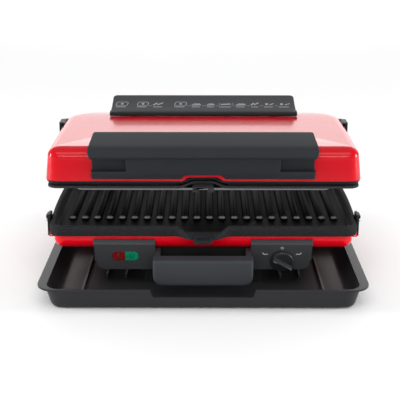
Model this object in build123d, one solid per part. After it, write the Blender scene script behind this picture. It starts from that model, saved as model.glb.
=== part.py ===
from build123d import *
import math
import os

# Contact grill with a floating lid, in millimetres. +X is right, -Y is the front, +Z is up.
# The table is at Z = 0. The lid stands level in its raised position above the lower plate.

# --- driving dimensions -------------------------------------------------------------------
LIFT = 43.0             # how far the lid travels down to close on the lower plate
GAP = 0.3               # clearance between pieces that move past each other
WALL = 2.4              # moulded wall thickness

PLATE_FRONT = -96.5
PLATE_REAR = 130.0
PLATE_HALF = (170.5, 174.5, 172.5)   # half width at the front, the middle and the rear
PLATE_CORNER = 11.0
PLATE_UNDER = 63.2
FLOOR_TOP = 67.0
RIM_TOP = 75.0
RIM_WIDTH = 6.0
RIDGE_COUNT = 22
RIDGE_PITCH = 14.4
RIDGE_FRONT = -49.0
RIDGE_REAR = 121.0
RIDGE_WIDTH = 7.6
RIDGE_HEIGHT = 3.4

UPPER_RIM = RIM_TOP + LIFT + 0.6     # underside of the raised upper plate's flange
UPPER_FLANGE = 3.0
UPPER_PAN_DROP = 2.0                 # the upper pan hangs this far below its flange
UPPER_RIDGE_HEIGHT = 2.4
UPPER_PAN_HALF = 139.5
UPPER_PAN_FRONT = -88.0

SHELL_TOP = 62.9
SHELL_UNDER = 48.0
SHELL_HALF = 167.0
SHELL_FRONT = -94.0
SHELL_REAR = 128.0

COVER_UNDER = 28.0
COVER_HALF = 124.0
COVER_FRONT = -82.0
COVER_REAR = 124.0

LID_EDGE = 128.3
LID_TOP = 166.0
LID_FRONT = -101.0
LID_REAR = 134.0
LID_HALF = (172.5, 174.0, 172.0)
LID_CORNER = 14.0
LID_DRAFT = 7.0
LID_EDGE_RADIUS = 7.0

PIVOT_Y = 148.0
PIVOT_Z = UPPER_RIM - 0.3
ROD_RADIUS = 3.0
KNUCKLE_RADIUS = 7.0
LEG_X = 126.0
LEG_WIDTH = 14.0
LEG_THICK = 6.0
LEG_LENGTH = 70.0
HOUSING_TOP = 66.0
HOUSING_UNDER = 4.0
HOUSING_HALF = 150.0
HOUSING_FRONT = 131.0
HOUSING_REAR = 159.0

PANEL_INNER = 53.3
PANEL_OUTER = 121.5
PANEL_TOP = 60.0
PANEL_UNDER = 24.0
PANEL_TILT = math.degrees(math.atan2(9.5, 33.0))
PANEL_FRONT = -103.0
PANEL_BEVEL_Z = 57.0
KNOB_X = 87.5
KNOB_Z = 37.0
KNOB_RADIUS = 13.5
KNOB_REST = 58.0        # degrees from upright to the left-hand mark
LENS_X = -86.6
LENS_Z = 41.5
LENS_LENGTH = 30.5
LENS_HEIGHT = 11.5

TRAY_HALF = 178.5
TRAY_FRONT = -160.0
TRAY_REAR = 70.0
TRAY_TOP = 25.0
TRAY_FLOOR = 2.5
NOTCH_HALF = 57.0
NOTCH_EDGE = 15.0

LATCH_Y = -60.0
LATCH_HALF = 11.0
EAR = 2.5
PIN_RADIUS = 1.5
LOWER_PIVOT = (171.2, 58.6)          # x and z of the right-hand latch's pin
LOWER_TIP = 80.0
UPPER_LATCH_Y = 80.0
UPPER_PIVOT = (174.0, 154.5)
UPPER_TIP = UPPER_RIM - 3.4


# --- small helpers ------------------------------------------------------------------------
def block(x0, x1, y0, y1, z0, z1):
    """A box between two opposite corners."""
    return Pos((x0 + x1) / 2, (y0 + y1) / 2, (z0 + z1) / 2) * Box(x1 - x0, y1 - y0, z1 - z0)


def side_prism(points, x0, x1, radii=None):
    """An outline of (y, z) points, extruded along X. radii rounds corners by their index."""
    face = Plane.YZ.offset(x0) * rounded_polygon(points, radii)
    return extrude(face, amount=x1 - x0, dir=(1, 0, 0))


def front_prism(points, y0, y1, radii=None):
    """An outline of (x, z) points, extruded along Y. radii rounds corners by their index."""
    face = Plane.XZ.offset(-y0) * rounded_polygon(points, radii)
    return extrude(face, amount=y1 - y0, dir=(0, 1, 0))


def rounded_polygon(points, radii=None):
    """A polygon whose corners in radii, {index: radius}, are rounded."""
    face = Polygon(*points, align=None)
    for index, radius in (radii or {}).items():
        corner = face.vertices().sort_by_distance((*points[index], 0))[0]
        face = fillet(corner, radius)
    return face


def barrel(front, rear, halves, corner, inset=0.0):
    """A plan outline whose sides bow out gently between its front and rear corners."""
    front_half, middle_half, rear_half = (half - inset for half in halves)
    front = front + inset
    rear = rear - inset
    middle = (front + rear) / 2
    outline = Line((-front_half, front), (front_half, front))
    outline += ThreePointArc((front_half, front), (middle_half, middle), (rear_half, rear))
    outline += Line((rear_half, rear), (-rear_half, rear))
    outline += ThreePointArc((-rear_half, rear), (-middle_half, middle), (-front_half, front))
    face = make_face(outline)
    return fillet(face.vertices(), corner)


def rod_x(x0, x1, y, z, radius):
    """A round bar along X."""
    return Pos((x0 + x1) / 2, y, z) * Rot(0, 90, 0) * Cylinder(radius, x1 - x0)


def rod_y(x, y0, y1, z, radius):
    """A round bar along Y."""
    return Pos(x, (y0 + y1) / 2, z) * Rot(90, 0, 0) * Cylinder(radius, y1 - y0)


def rod_z(x, y, z0, z1, radius):
    """A round bar along Z."""
    return Pos(x, y, (z0 + z1) / 2) * Cylinder(radius, z1 - z0)


def panel_plane(x, z, out=0.0):
    """The plane of the front panels' sloping face at (x, z), moved outwards by out."""
    slope = math.radians(PANEL_TILT)
    y = PANEL_FRONT + (PANEL_BEVEL_Z - z) * math.tan(slope)
    normal = Vector(0, -math.cos(slope), -math.sin(slope))
    return Plane(origin=Vector(x, y, z) + normal * out, x_dir=(1, 0, 0), z_dir=normal)


# --- cooking plates -----------------------------------------------------------------------
def ridge(x, length_from, length_to, base_z, height, width, direction=1):
    """One raised cooking ridge along Y, with sloping sides and rounded ends."""
    outline = SlotOverall(length_to - length_from, width, rotation=90)
    placed = Pos(x, (length_from + length_to) / 2, base_z) * outline
    return extrude(placed, amount=height, dir=(0, 0, direction), taper=24)


def lower_plate():
    """The lower cast plate: a rimmed pan with ridges, and a spout at the front."""
    outer = barrel(PLATE_FRONT, PLATE_REAR, PLATE_HALF, PLATE_CORNER)
    inner = barrel(PLATE_FRONT, PLATE_REAR, PLATE_HALF, PLATE_CORNER, RIM_WIDTH)
    body = extrude(Pos(0, 0, PLATE_UNDER) * outer, amount=RIM_TOP - PLATE_UNDER)
    spout = rounded_polygon(
        [(-33, -90), (-30, -96.5), (-15, -109), (15, -109), (30, -96.5), (33, -90)],
        {2: 8, 3: 8, 1: 6, 4: 6},
    )
    body += extrude(Pos(0, 0, PLATE_UNDER) * spout, amount=RIM_TOP - PLATE_UNDER)
    body -= extrude(Pos(0, 0, FLOOR_TOP) * inner, amount=20)
    trough = Polygon((-26, -80), (-22, -92), (-10, -104), (10, -104), (22, -92), (26, -80), align=None)
    body -= extrude(Pos(0, 0, FLOOR_TOP) * trough, amount=20)
    left = Spline((-29, RIM_TOP + 0.5), (-20.5, 71), (-12, 67.4), tangents=[(1, 0), (1, 0)])
    right = Spline((12, 67.4), (20.5, 71), (29, RIM_TOP + 0.5), tangents=[(1, 0), (1, 0)])
    top = Polyline((29, RIM_TOP + 0.5), (29, 82), (-29, 82), (-29, RIM_TOP + 0.5))
    dip = make_face(left + Line((-12, 67.4), (12, 67.4)) + right + top)
    body -= extrude(Plane.XZ.offset(91) * dip, amount=30, dir=(0, -1, 0))
    body += block(-10.5, 10.5, -116, -107, 60.5, 67.4)
    body -= block(-7.5, 7.5, -117, -100, 65.4, 70)
    for side in (-1, 1):
        body -= sided_block(side, 171.0, 180, LATCH_Y - 5, LATCH_Y + 5, 67.5, 71.5)
        body -= sided_block(side, 171.4, 180, UPPER_LATCH_Y - 6, UPPER_LATCH_Y + 6, 71.0, 80)
    first = -RIDGE_PITCH * (RIDGE_COUNT - 1) / 2
    ridges = [
        ridge(first + i * RIDGE_PITCH, RIDGE_FRONT, RIDGE_REAR, FLOOR_TOP - 0.2, RIDGE_HEIGHT, RIDGE_WIDTH)
        for i in range(RIDGE_COUNT)
    ]
    return body + ridges


def upper_plate():
    """The upper cast plate: a flange, a pan that hangs below it, ridges and a drain channel."""
    flange = extrude(
        Pos(0, 0, UPPER_RIM) * barrel(PLATE_FRONT, PLATE_REAR, PLATE_HALF, PLATE_CORNER),
        amount=UPPER_FLANGE,
    )
    pan_rear = RIDGE_REAR + 3
    pan_middle = (UPPER_PAN_FRONT + pan_rear) / 2
    pan = Pos(0, pan_middle, UPPER_RIM) * RectangleRounded(2 * UPPER_PAN_HALF, pan_rear - UPPER_PAN_FRONT, 10)
    body = flange + extrude(pan, amount=UPPER_PAN_DROP, dir=(0, 0, -1), taper=12)
    body += block(-10.5, 10.5, -112, -86, UPPER_RIM - UPPER_PAN_DROP, UPPER_RIM + 7)
    body += front_prism(
        [(-26, UPPER_RIM), (-10, UPPER_RIM + 6), (10, UPPER_RIM + 6), (26, UPPER_RIM)], -100, -94,
        {1: 5, 2: 5},
    )
    body -= block(-4.7, 4.7, -113, -84, UPPER_RIM - 6, UPPER_RIM + 4.2)
    first = -RIDGE_PITCH * (RIDGE_COUNT - 3) / 2
    ridges = [
        ridge(
            first + i * RIDGE_PITCH, -80, RIDGE_REAR,
            UPPER_RIM - UPPER_PAN_DROP + 0.2, UPPER_RIDGE_HEIGHT, RIDGE_WIDTH, -1,
        )
        for i in range(RIDGE_COUNT - 2)
        if abs(first + i * RIDGE_PITCH) < UPPER_PAN_HALF - 6 and abs(first + i * RIDGE_PITCH) > 9
    ]
    return body + ridges


# --- base ---------------------------------------------------------------------------------
def base_shell():
    """The red lower casing: a shallow tray with rounded lower edges, open above and below."""
    height = SHELL_TOP - SHELL_UNDER
    depth = SHELL_REAR - SHELL_FRONT
    middle = (SHELL_FRONT + SHELL_REAR) / 2
    body = Pos(0, middle, SHELL_UNDER) * extrude(RectangleRounded(2 * SHELL_HALF, depth, 12), amount=height)
    body = fillet(body.faces().sort_by(Axis.Z)[0].edges(), 10)
    inside = RectangleRounded(2 * (SHELL_HALF - WALL), depth - 2 * WALL, 10)
    hollow = Pos(0, middle, SHELL_UNDER + WALL) * extrude(inside, amount=height)
    body -= fillet(hollow.faces().sort_by(Axis.Z)[0].edges(), 10 - WALL)
    opening = RectangleRounded(2 * COVER_HALF - 12, COVER_REAR - COVER_FRONT - 12, 10)
    body -= Pos(0, (COVER_FRONT + COVER_REAR) / 2, SHELL_UNDER - 1) * extrude(opening, amount=6)
    return body + latch_ears(LATCH_Y, LOWER_PIVOT, SHELL_HALF - 1)


def base_cover():
    """The black underbody: an open box under the casing, with two front legs and vent slots."""
    depth = COVER_REAR - COVER_FRONT
    middle = (COVER_FRONT + COVER_REAR) / 2
    height = SHELL_UNDER - COVER_UNDER
    body = Pos(0, middle, COVER_UNDER) * extrude(RectangleRounded(2 * COVER_HALF, depth, 14), amount=height)
    inside = RectangleRounded(2 * (COVER_HALF - WALL), depth - 2 * WALL, 12)
    body -= Pos(0, middle, COVER_UNDER + WALL) * extrude(inside, amount=height)
    for i in range(9):
        body -= block(-60, 60, 10 * i - 1.6, 10 * i + 1.6, COVER_UNDER - 1, COVER_UNDER + WALL + 1)
    for side in (-1, 1):
        x = side * 62.5
        body += block(x - 4.5, x + 4.5, -76, -64, 5.8, COVER_UNDER + 6)
    return body


def front_feet():
    """Two rubber pads under the front legs, just above the drip tray's floor."""
    low = TRAY_FLOOR + GAP
    return Compound([block(s * 62.5 - 4.5, s * 62.5 + 4.5, -76, -64, low, 5.8) for s in (-1, 1)])


def rear_feet():
    """Two rubber feet that stand on the table behind the drip tray."""
    return Compound([rod_z(side * 135, 145, 0, HOUSING_UNDER, 9) for side in (-1, 1)])


def rear_housing():
    """The black rear housing: two guide towers for the hinge legs and a box for the terminals."""
    body = block(-HOUSING_HALF, HOUSING_HALF, HOUSING_FRONT, HOUSING_REAR, HOUSING_UNDER, SHELL_UNDER)
    body = fillet(body.edges().filter_by(Axis.Z), 5)
    for side in (-1, 1):
        tower = sided_block(side, 112, HOUSING_HALF, HOUSING_FRONT, HOUSING_REAR, HOUSING_UNDER, HOUSING_TOP)
        body += fillet(tower.edges().filter_by(Axis.Z), 5)
    body += block(-HOUSING_HALF + 8, HOUSING_HALF - 8, COVER_REAR, HOUSING_FRONT + 3, COVER_UNDER + 4, SHELL_UNDER)
    body -= block(-108, 108, HOUSING_FRONT + WALL, HOUSING_REAR - WALL, HOUSING_UNDER + WALL, SHELL_UNDER - WALL)
    half = LEG_WIDTH / 2 + GAP
    deep = LEG_THICK / 2 + GAP
    for side in (-1, 1):
        x = side * LEG_X
        body -= block(x - half, x + half, PIVOT_Y - deep, PIVOT_Y + deep, -1, HOUSING_TOP + 1)
    for i in range(7):
        x = -66 + 12 * i
        body -= block(x - 1.5, x + 1.5, HOUSING_REAR - 4, HOUSING_REAR + 1, 26, 42)
    return body - rod_y(90, HOUSING_REAR - 6, HOUSING_REAR + 1, 18, 7.0)


def cord_gland():
    """The inlet bush in the rear housing that the mains lead passes through."""
    body = rod_y(90, HOUSING_REAR - WALL - 4, HOUSING_REAR + 1, 18, 7.0)
    body += rod_y(90, HOUSING_REAR, HOUSING_REAR + 1, 18, 9.5)
    return body - rod_y(90, HOUSING_REAR - 8, HOUSING_REAR + 6, 18, 3.6)


def terminal_block():
    """Three screw terminals for the mains lead, inside the rear housing."""
    body = block(40, 72, 138, 152, HOUSING_UNDER + WALL, 22)
    for i in range(3):
        body -= rod_z(46 + 10 * i, 145, 14, 23, 2.5)
    return body


def heating_element(z, front, rear, half):
    """A bare tubular element bent into a flat serpentine with two cold tails at the rear."""
    radius = 3.25
    bend = 24.0
    middle = half * 0.42
    points = [
        (-12, rear + 6), (-12, rear - 60), (-middle, rear - 60), (-middle, rear - 6), (-half, rear - 6),
        (-half, front), (half, front), (half, rear - 6), (middle, rear - 6), (middle, rear - 60),
        (12, rear - 60), (12, rear + 6),
    ]
    radii = [9, 9, 20, 20, bend, bend, 20, 20, 9, 9]
    path = FilletPolyline(*points, radius=radii)
    return sweep(Plane(origin=Vector(*points[0], 0), z_dir=(0, -1, 0)) * Circle(radius), path=path).moved(Pos(0, 0, z))


def reflector(z, half, front, rear, lip):
    """A thin steel dish that throws the element's heat towards the plate."""
    middle = (front + rear) / 2
    dish = extrude(Pos(0, middle, z) * RectangleRounded(2 * half, rear - front, 10), amount=abs(lip), dir=(0, 0, math.copysign(1, lip)))
    hollow = Pos(0, middle, z + math.copysign(1.0, lip)) * RectangleRounded(2 * half - 2, rear - front - 2, 9)
    return dish - extrude(hollow, amount=abs(lip), dir=(0, 0, math.copysign(1, lip)))


def panel_outline(inset=0.0):
    """The front outline of a panel's right-hand version: narrower towards its lower outer corner."""
    return [
        (PANEL_INNER + inset, PANEL_TOP + 1), (PANEL_OUTER - inset, PANEL_TOP + 1),
        (PANEL_OUTER - 1.5 - inset, 40), (PANEL_OUTER - 4.5 - inset, PANEL_UNDER + inset),
        (PANEL_INNER + inset, PANEL_UNDER + inset),
    ]


def panel_section(inset=0.0):
    """The panel's side section: a short level top, a bevel and a face that slopes back."""
    slope = math.tan(math.radians(PANEL_TILT))
    foot = PANEL_FRONT + (PANEL_BEVEL_Z - PANEL_UNDER) * slope
    back = COVER_FRONT - 0.1
    return [
        (back, PANEL_TOP - inset), (PANEL_FRONT + 4 + inset, PANEL_TOP - inset),
        (PANEL_FRONT + inset, PANEL_BEVEL_Z - inset), (foot + inset, PANEL_UNDER + inset),
        (back, PANEL_UNDER + inset),
    ]


def front_panel(side):
    """One of the two moulded panels under the casing's front, hollow and open at the back."""
    solids = []
    for inset in (0.0, WALL):
        outline = [(side * x, z) for x, z in panel_outline(inset)]
        form = front_prism(outline, -120, -60, {3: 9.0 - inset})
        low, high = sorted((side * PANEL_INNER, side * PANEL_OUTER))
        form &= side_prism(panel_section(inset), low - 2, high + 2, {1: 1.5, 2: 1.5} if inset == 0 else None)
        solids.append(form)
    panel = solids[0] - solids[1]
    seat = block(-SHELL_HALF, SHELL_HALF, SHELL_FRONT - 0.05, -50, SHELL_UNDER - 0.05, 70)
    return panel - seat


def indicator_panel():
    """The left panel, with a pill-shaped window for the two indicator lenses."""
    window = panel_plane(LENS_X, LENS_Z, -6) * SlotOverall(LENS_LENGTH, LENS_HEIGHT)
    return front_panel(-1) - extrude(window, amount=12)


def control_panel():
    """The right panel, with a hole for the selector's shaft."""
    hole = panel_plane(KNOB_X, KNOB_Z, -6) * Circle(4.5)
    return front_panel(1) - extrude(hole, amount=12)


def lens(side):
    """Half of the pill: a lens for one indicator lamp, with a small moulded boss."""
    pill = panel_plane(LENS_X, LENS_Z, -3) * SlotOverall(LENS_LENGTH - 0.3, LENS_HEIGHT - 0.3)
    body = extrude(pill, amount=3.8)
    half = panel_plane(LENS_X, LENS_Z, -8) * Pos(side * (LENS_LENGTH / 4 + 0.05), 0, 0)
    body &= half * extrude(Rectangle(LENS_LENGTH / 2, LENS_HEIGHT + 4), amount=20)
    boss = panel_plane(LENS_X + side * 8.4, LENS_Z, 0) * Circle(1.8)
    return body + extrude(boss, amount=1.3)


def lamp_board():
    """The indicator circuit board, with one lamp behind each lens."""
    plane = panel_plane(LENS_X, LENS_Z - 4, -10)
    board = plane * extrude(Rectangle(44, 12), amount=1.6)
    for side in (-1, 1):
        board += plane * Pos(side * 8.4, 2, 1.6) * extrude(Circle(2.5), amount=4.5)
    return board


def selector_switch():
    """The mode switch behind the control panel."""
    plane = panel_plane(KNOB_X, KNOB_Z, -3.2)
    body = plane * Pos(0, -2, 0) * extrude(RectangleRounded(22, 13, 2), amount=-8.5)
    hole = panel_plane(KNOB_X, KNOB_Z, 2) * extrude(Circle(3.05), amount=-16)
    return body - hole


def selector_shaft():
    """The D-shaped shaft that joins the knob to the switch."""
    return panel_plane(KNOB_X, KNOB_Z, -10) * extrude(Circle(3.0), amount=14)


def selector_knob():
    """The selector knob: a round skirt and a raised grip bar that points at the chosen mark."""
    plane = panel_plane(KNOB_X, KNOB_Z, 0.6)
    skirt = extrude(Circle(KNOB_RADIUS), amount=6.5, taper=4)
    skirt = fillet(skirt.edges().sort_by(Axis.Z)[-1], 1.2)
    bar = extrude(RectangleRounded(7.0, 2 * KNOB_RADIUS - 1.0, 2.5), amount=12.5, taper=5)
    bar = fillet(bar.edges().group_by(Axis.Z)[-1], 1.0)
    knob = skirt + bar
    bore = extrude(Circle(3.0), amount=3.4)
    return plane * Rot(0, 0, KNOB_REST) * (knob - bore)


def front_handle():
    """The lower carrying handle: a rounded grip held out by two arms."""
    grip = side_prism(
        [(-117, 50.5), (-127, 50.5), (-134, 43), (-134, 20), (-122, 20), (-119, 26), (-117, 44)],
        -54.5, 54.5, {1: 3, 2: 9, 3: 5, 4: 3},
    )
    outline = front_prism([(-54.5, 60), (-54.5, 20), (54.5, 20), (54.5, 60)], -140, -80, {1: 9, 2: 9})
    grip &= outline
    for side in (-1, 1):
        x0, x1 = sorted((side * 47.5, side * PANEL_INNER - side * 0.2))
        arm = side_prism([(-118, 50.5), (-118, 36), (COVER_FRONT - 0.1, 30), (COVER_FRONT - 0.1, 47.5), (-104, 47.5)], x0, x1)
        grip += arm
    return grip


# --- lid ----------------------------------------------------------------------------------
def lid_form(inset):
    """The lid's outer form, shrunk by inset: tapered sides, and a rear that curves down."""
    outline = barrel(LID_FRONT, LID_REAR, LID_HALF, LID_CORNER, inset)
    form = extrude(Pos(0, 0, LID_EDGE) * outline, amount=LID_TOP - inset - LID_EDGE, taper=LID_DRAFT)
    form = fillet(form.faces().sort_by(Axis.Z)[-1].edges(), LID_EDGE_RADIUS - inset)
    top = LID_TOP - inset
    rear = LID_REAR - inset
    curve = Spline((80, top), (114, 158.5 - inset), (rear - 1, LID_EDGE + 8), tangents=[(1, 0), (0.12, -1)])
    profile = make_face(
        Polyline((rear - 1, LID_EDGE + 8), (rear, LID_EDGE - 2), (-120, LID_EDGE - 2), (-120, top), (80, top))
        + curve
    )
    return form & extrude(Plane.YZ.offset(-200) * profile, amount=400, dir=(1, 0, 0))


def lid_shell():
    """The red lid casing: a thin shell, open below, with a notch above the upper spout."""
    body = lid_form(0.0) - lid_form(WALL)
    notch = front_prism(
        [(-25, LID_EDGE - 2), (-18.5, LID_EDGE + 7.2), (18.5, LID_EDGE + 7.2), (25, LID_EDGE - 2)], -112, -90,
        {1: 3, 2: 3},
    )
    return body - notch + latch_ears(UPPER_LATCH_Y, UPPER_PIVOT, 169.0)


def lid_frame():
    """The black inner frame of the lid: it carries the upper plate and the hinge lugs."""
    low = UPPER_RIM + UPPER_FLANGE + 0.3
    ring = barrel(PLATE_FRONT, PLATE_REAR, PLATE_HALF, PLATE_CORNER, 4.5)
    body = extrude(Pos(0, 0, low) * ring, amount=LID_EDGE - low + 3)
    hole = Pos(0, 17, low - 1) * RectangleRounded(290, 196, 10)
    body -= extrude(hole, amount=20)
    body -= block(-27, 27, -100, -84, low - 1, LID_EDGE + 8)
    for side in (-1, 1):
        x0, x1 = sorted((side * 104, side * 118))
        lug = rod_x(x0, x1, PIVOT_Y, PIVOT_Z, KNUCKLE_RADIUS)
        lug += block(x0, x1, 118, PIVOT_Y, low + 0.2, PIVOT_Z + KNUCKLE_RADIUS)
        body += lug - rod_x(x0 - 1, x1 + 1, PIVOT_Y, PIVOT_Z, ROD_RADIUS + 0.05)
    return body


def lid_handle():
    """The lid handle: a wide visor over the front, a fascia below it and two finger pockets."""
    half = 122.5
    section = [
        (-50, 166.2), (-54, 172.5), (-62, 174.0), (-119, 170.8), (-125, 168.2), (-124.5, 160),
        (-118, 156.5), (-106, 131.6), (LID_FRONT - 0.2, 131.6), (LID_FRONT - 0.2, 166.2),
    ]
    body = side_prism(section, -half, half, {4: 2.5, 5: 2, 3: 6})
    outline = front_prism(
        [(-119, 131), (-119.5, 152), (-half, 160), (-half, 168), (-119.5, 176), (119.5, 176), (half, 168),
         (half, 160), (119.5, 152), (119, 131)],
        -130, -45,
    )
    body &= outline
    body -= front_prism(
        [(-24, 130), (-18.5, 136.2), (18.5, 136.2), (24, 130)], -130, -90, {1: 3, 2: 3},
    )
    for side in (-1, 1):
        pocket = [(side * 78, 157), (side * 130, 157), (side * 130, 141.5), (side * 89, 141.5)]
        body -= front_prism(pocket, -130, LID_FRONT - 2.2)
    return body


def guide_panel():
    """The sloping guide panel above the lid's rear, with a rolled front lip."""
    section = [(66, 167.6), (66, 171.0), (100, 185.4), (101.6, 182.4), (72, 168.6)]
    body = side_prism(section, -114.5, 114.5, {1: 1.2})
    outline = Polygon((-114.5, 60), (-111.5, 104), (111.5, 104), (114.5, 60), align=None)
    return body & extrude(Pos(0, 0, 160) * outline, amount=30, dir=(0, 0, 1))


def guide_brackets():
    """Two ribs that hold the guide panel above the lid's rear slope."""
    solids = []
    for side in (-1, 1):
        x0, x1 = sorted((side * 84, side * 90))
        rib = side_prism([(73, 165.0), (73, 168.6), (100.2, 181.4), (100.2, 150.0)], x0, x1)
        solids.append(rib - lid_form(0.0))
    return Compound(solids)


# --- hinge --------------------------------------------------------------------------------
def hinge_leg(side):
    """A flat steel leg that slides in the rear housing and carries the hinge rod."""
    x = side * LEG_X
    half = LEG_WIDTH / 2
    body = block(x - half, x + half, PIVOT_Y - LEG_THICK / 2, PIVOT_Y + LEG_THICK / 2, PIVOT_Z - LEG_LENGTH, PIVOT_Z)
    body += rod_x(x - half, x + half, PIVOT_Y, PIVOT_Z, KNUCKLE_RADIUS)
    return body - rod_x(x - half - 1, x + half + 1, PIVOT_Y, PIVOT_Z, ROD_RADIUS)


def hinge_rod():
    """The steel rod through both legs and both lid lugs."""
    end = LEG_X + LEG_WIDTH / 2 + 3
    return rod_x(-end, end, PIVOT_Y, PIVOT_Z, ROD_RADIUS)


def hinge_caps():
    """Two push-on caps that keep the hinge rod in place."""
    start = LEG_X + LEG_WIDTH / 2 + 0.3
    solids = []
    for side in (-1, 1):
        x0, x1 = sorted((side * start, side * (start + 5)))
        i0, i1 = sorted((side * (start - 1), side * (LEG_X + LEG_WIDTH / 2 + 3)))
        solids.append(rod_x(x0, x1, PIVOT_Y, PIVOT_Z, 5.0) - rod_x(i0, i1, PIVOT_Y, PIVOT_Z, ROD_RADIUS))
    return Compound(solids)


# --- latches ------------------------------------------------------------------------------
def latch(side, y, pivot, tip_z, nub):
    """A plate latch: a hinge barrel, a flat lever beside the plate, a nub and a grip lip."""
    pivot_x, pivot_z = pivot
    inner, outer = pivot_x + 2.2, pivot_x + 4.8
    up = math.copysign(1.0, tip_z - pivot_z)
    low, high = sorted((pivot_z, tip_z))
    barrel_part = rod_y(side * pivot_x, y - LATCH_HALF, y + LATCH_HALF, pivot_z, 2.7)
    lever = sided_block(side, inner, outer, y - LATCH_HALF, y + LATCH_HALF, low, high)
    lever = fillet(lever.edges().filter_by(Axis.X).group_by(Axis.Z)[-1 if up > 0 else 0], 4)
    low, high = sorted((pivot_z - up * 2.4, pivot_z + up * 1.6))
    lever += barrel_part + sided_block(side, pivot_x, outer, y - LATCH_HALF, y + LATCH_HALF, low, high)
    low, high = sorted((tip_z - up * 1.2, tip_z - up * 4.2))
    lever += sided_block(side, outer - 0.5, outer + 2.0, y - 7, y + 7, low, high)
    nub_x, nub_low, nub_high = nub
    lever += sided_block(side, nub_x, inner + 0.5, y - 4, y + 4, nub_low, nub_high)
    return lever - rod_y(side * pivot_x, y - LATCH_HALF - 1, y + LATCH_HALF + 1, pivot_z, PIN_RADIUS + 0.06)


def sided_block(side, x0, x1, y0, y1, z0, z1):
    """A box given for the right-hand side, mirrored when side is -1."""
    low, high = sorted((side * x0, side * x1))
    return block(low, high, y0, y1, z0, z1)


def latch_ears(y, pivot, root_x):
    """The lugs, on both sides of the grill, that hold the ends of the latch pins."""
    pivot_x, pivot_z = pivot
    ears = []
    for side in (-1, 1):
        for start in (y - LATCH_HALF - GAP - EAR, y + LATCH_HALF + GAP):
            ear = sided_block(side, root_x, pivot_x + 2.7, start, start + EAR, pivot_z - 2.7, pivot_z + 2.7)
            ears.append(ear - rod_y(side * pivot_x, start - 1, start + EAR + 1, pivot_z, PIN_RADIUS))
    return ears


def latch_pins(y, pivot):
    """The two metal pins that a pair of plate latches turn on."""
    pivot_x, pivot_z = pivot
    end = LATCH_HALF + GAP + EAR
    return Compound([rod_y(side * pivot_x, y - end, y + end, pivot_z, PIN_RADIUS) for side in (-1, 1)])


def latch_rivet(side):
    """The metal rivet head on the outside of a lower latch, near its tip."""
    start = LOWER_PIVOT[0] + 4.8
    x0, x1 = sorted((side * start, side * (start + 2.4)))
    return rod_x(x0, x1, LATCH_Y - 3, LOWER_TIP - 7.2, 2.1)


# --- drip tray ----------------------------------------------------------------------------
def tray_form(inset, low):
    """The tray's tapered body, shrunk by inset, from the height low up to the rim."""
    front = TRAY_FRONT + 0.5 + inset
    rear = TRAY_REAR - inset
    half = TRAY_HALF - 8 - inset
    middle = (front + rear) / 2
    top = Pos(0, middle, TRAY_TOP) * RectangleRounded(2 * half, rear - front, 18 - inset)
    form = extrude(top, amount=TRAY_TOP - low, dir=(0, 0, -1), taper=17)
    return fillet(form.faces().sort_by(Axis.Z)[0].edges(), 9 - inset)


def drip_tray():
    """The pull-out drip tray: a shallow pan with a side flange, floor ribs and a front notch."""
    body = tray_form(0.0, 0.0)
    flange_front = TRAY_FRONT
    flange_middle = (flange_front + TRAY_REAR) / 2
    flange = Pos(0, flange_middle, TRAY_TOP - 2.2) * RectangleRounded(2 * TRAY_HALF, TRAY_REAR - flange_front, 22)
    body += extrude(flange, amount=2.2)
    body -= tray_form(2.2, TRAY_FLOOR)
    body -= front_prism(
        [(-NOTCH_HALF, 30), (-NOTCH_HALF + 3, NOTCH_EDGE), (NOTCH_HALF - 3, NOTCH_EDGE), (NOTCH_HALF, 30)],
        TRAY_FRONT - 2, TRAY_FRONT + 12, {1: 3, 2: 3},
    )
    for side in (-1, 1):
        for x, front, rear in ((134, -142, 1), (111, -66, 30), (89, -66, 30)):
            rib = Pos(side * x, (front + rear) / 2, TRAY_FLOOR - 0.3) * SlotOverall(rear - front, 3.4, rotation=90)
            body += extrude(rib, amount=4.3, taper=6)
    return body


# --- fasteners and small parts ------------------------------------------------------------
def base_screws():
    """Six pan-head screws that hold the underbody to the casing."""
    solids = []
    for x in (-108, 0, 108):
        for y in (-60, 108):
            head = rod_z(x, y, COVER_UNDER + WALL, COVER_UNDER + WALL + 2.2, 3.4)
            solids.append(head + rod_z(x, y, COVER_UNDER + WALL, 46, 1.6))
    return Compound(solids)


def lid_screws():
    """Four screws that hold the lid's inner frame to its casing."""
    low = LID_EDGE + 3
    solids = []
    for x in (-152, 152):
        for y in (-60, 90):
            solids.append(rod_z(x, y, low, low + 2.2, 3.2) + rod_z(x, y, low, low + 12, 1.5))
    return Compound(solids)


def handle_screws():
    """Two screws that hold the lid handle on from inside the lid."""
    y = LID_FRONT + WALL + 3.4
    return Compound([rod_y(x, y, y + 2.4, 148, 3.6) + rod_y(x, y - 0.5, y + 1, 148, 1.6) for x in (-60, 60)])


def thermal_limiter():
    """The safety cut-out clamped above the upper element."""
    return rod_z(0, 60, UPPER_RIM + 16, UPPER_RIM + 24, 7.5)


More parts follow.
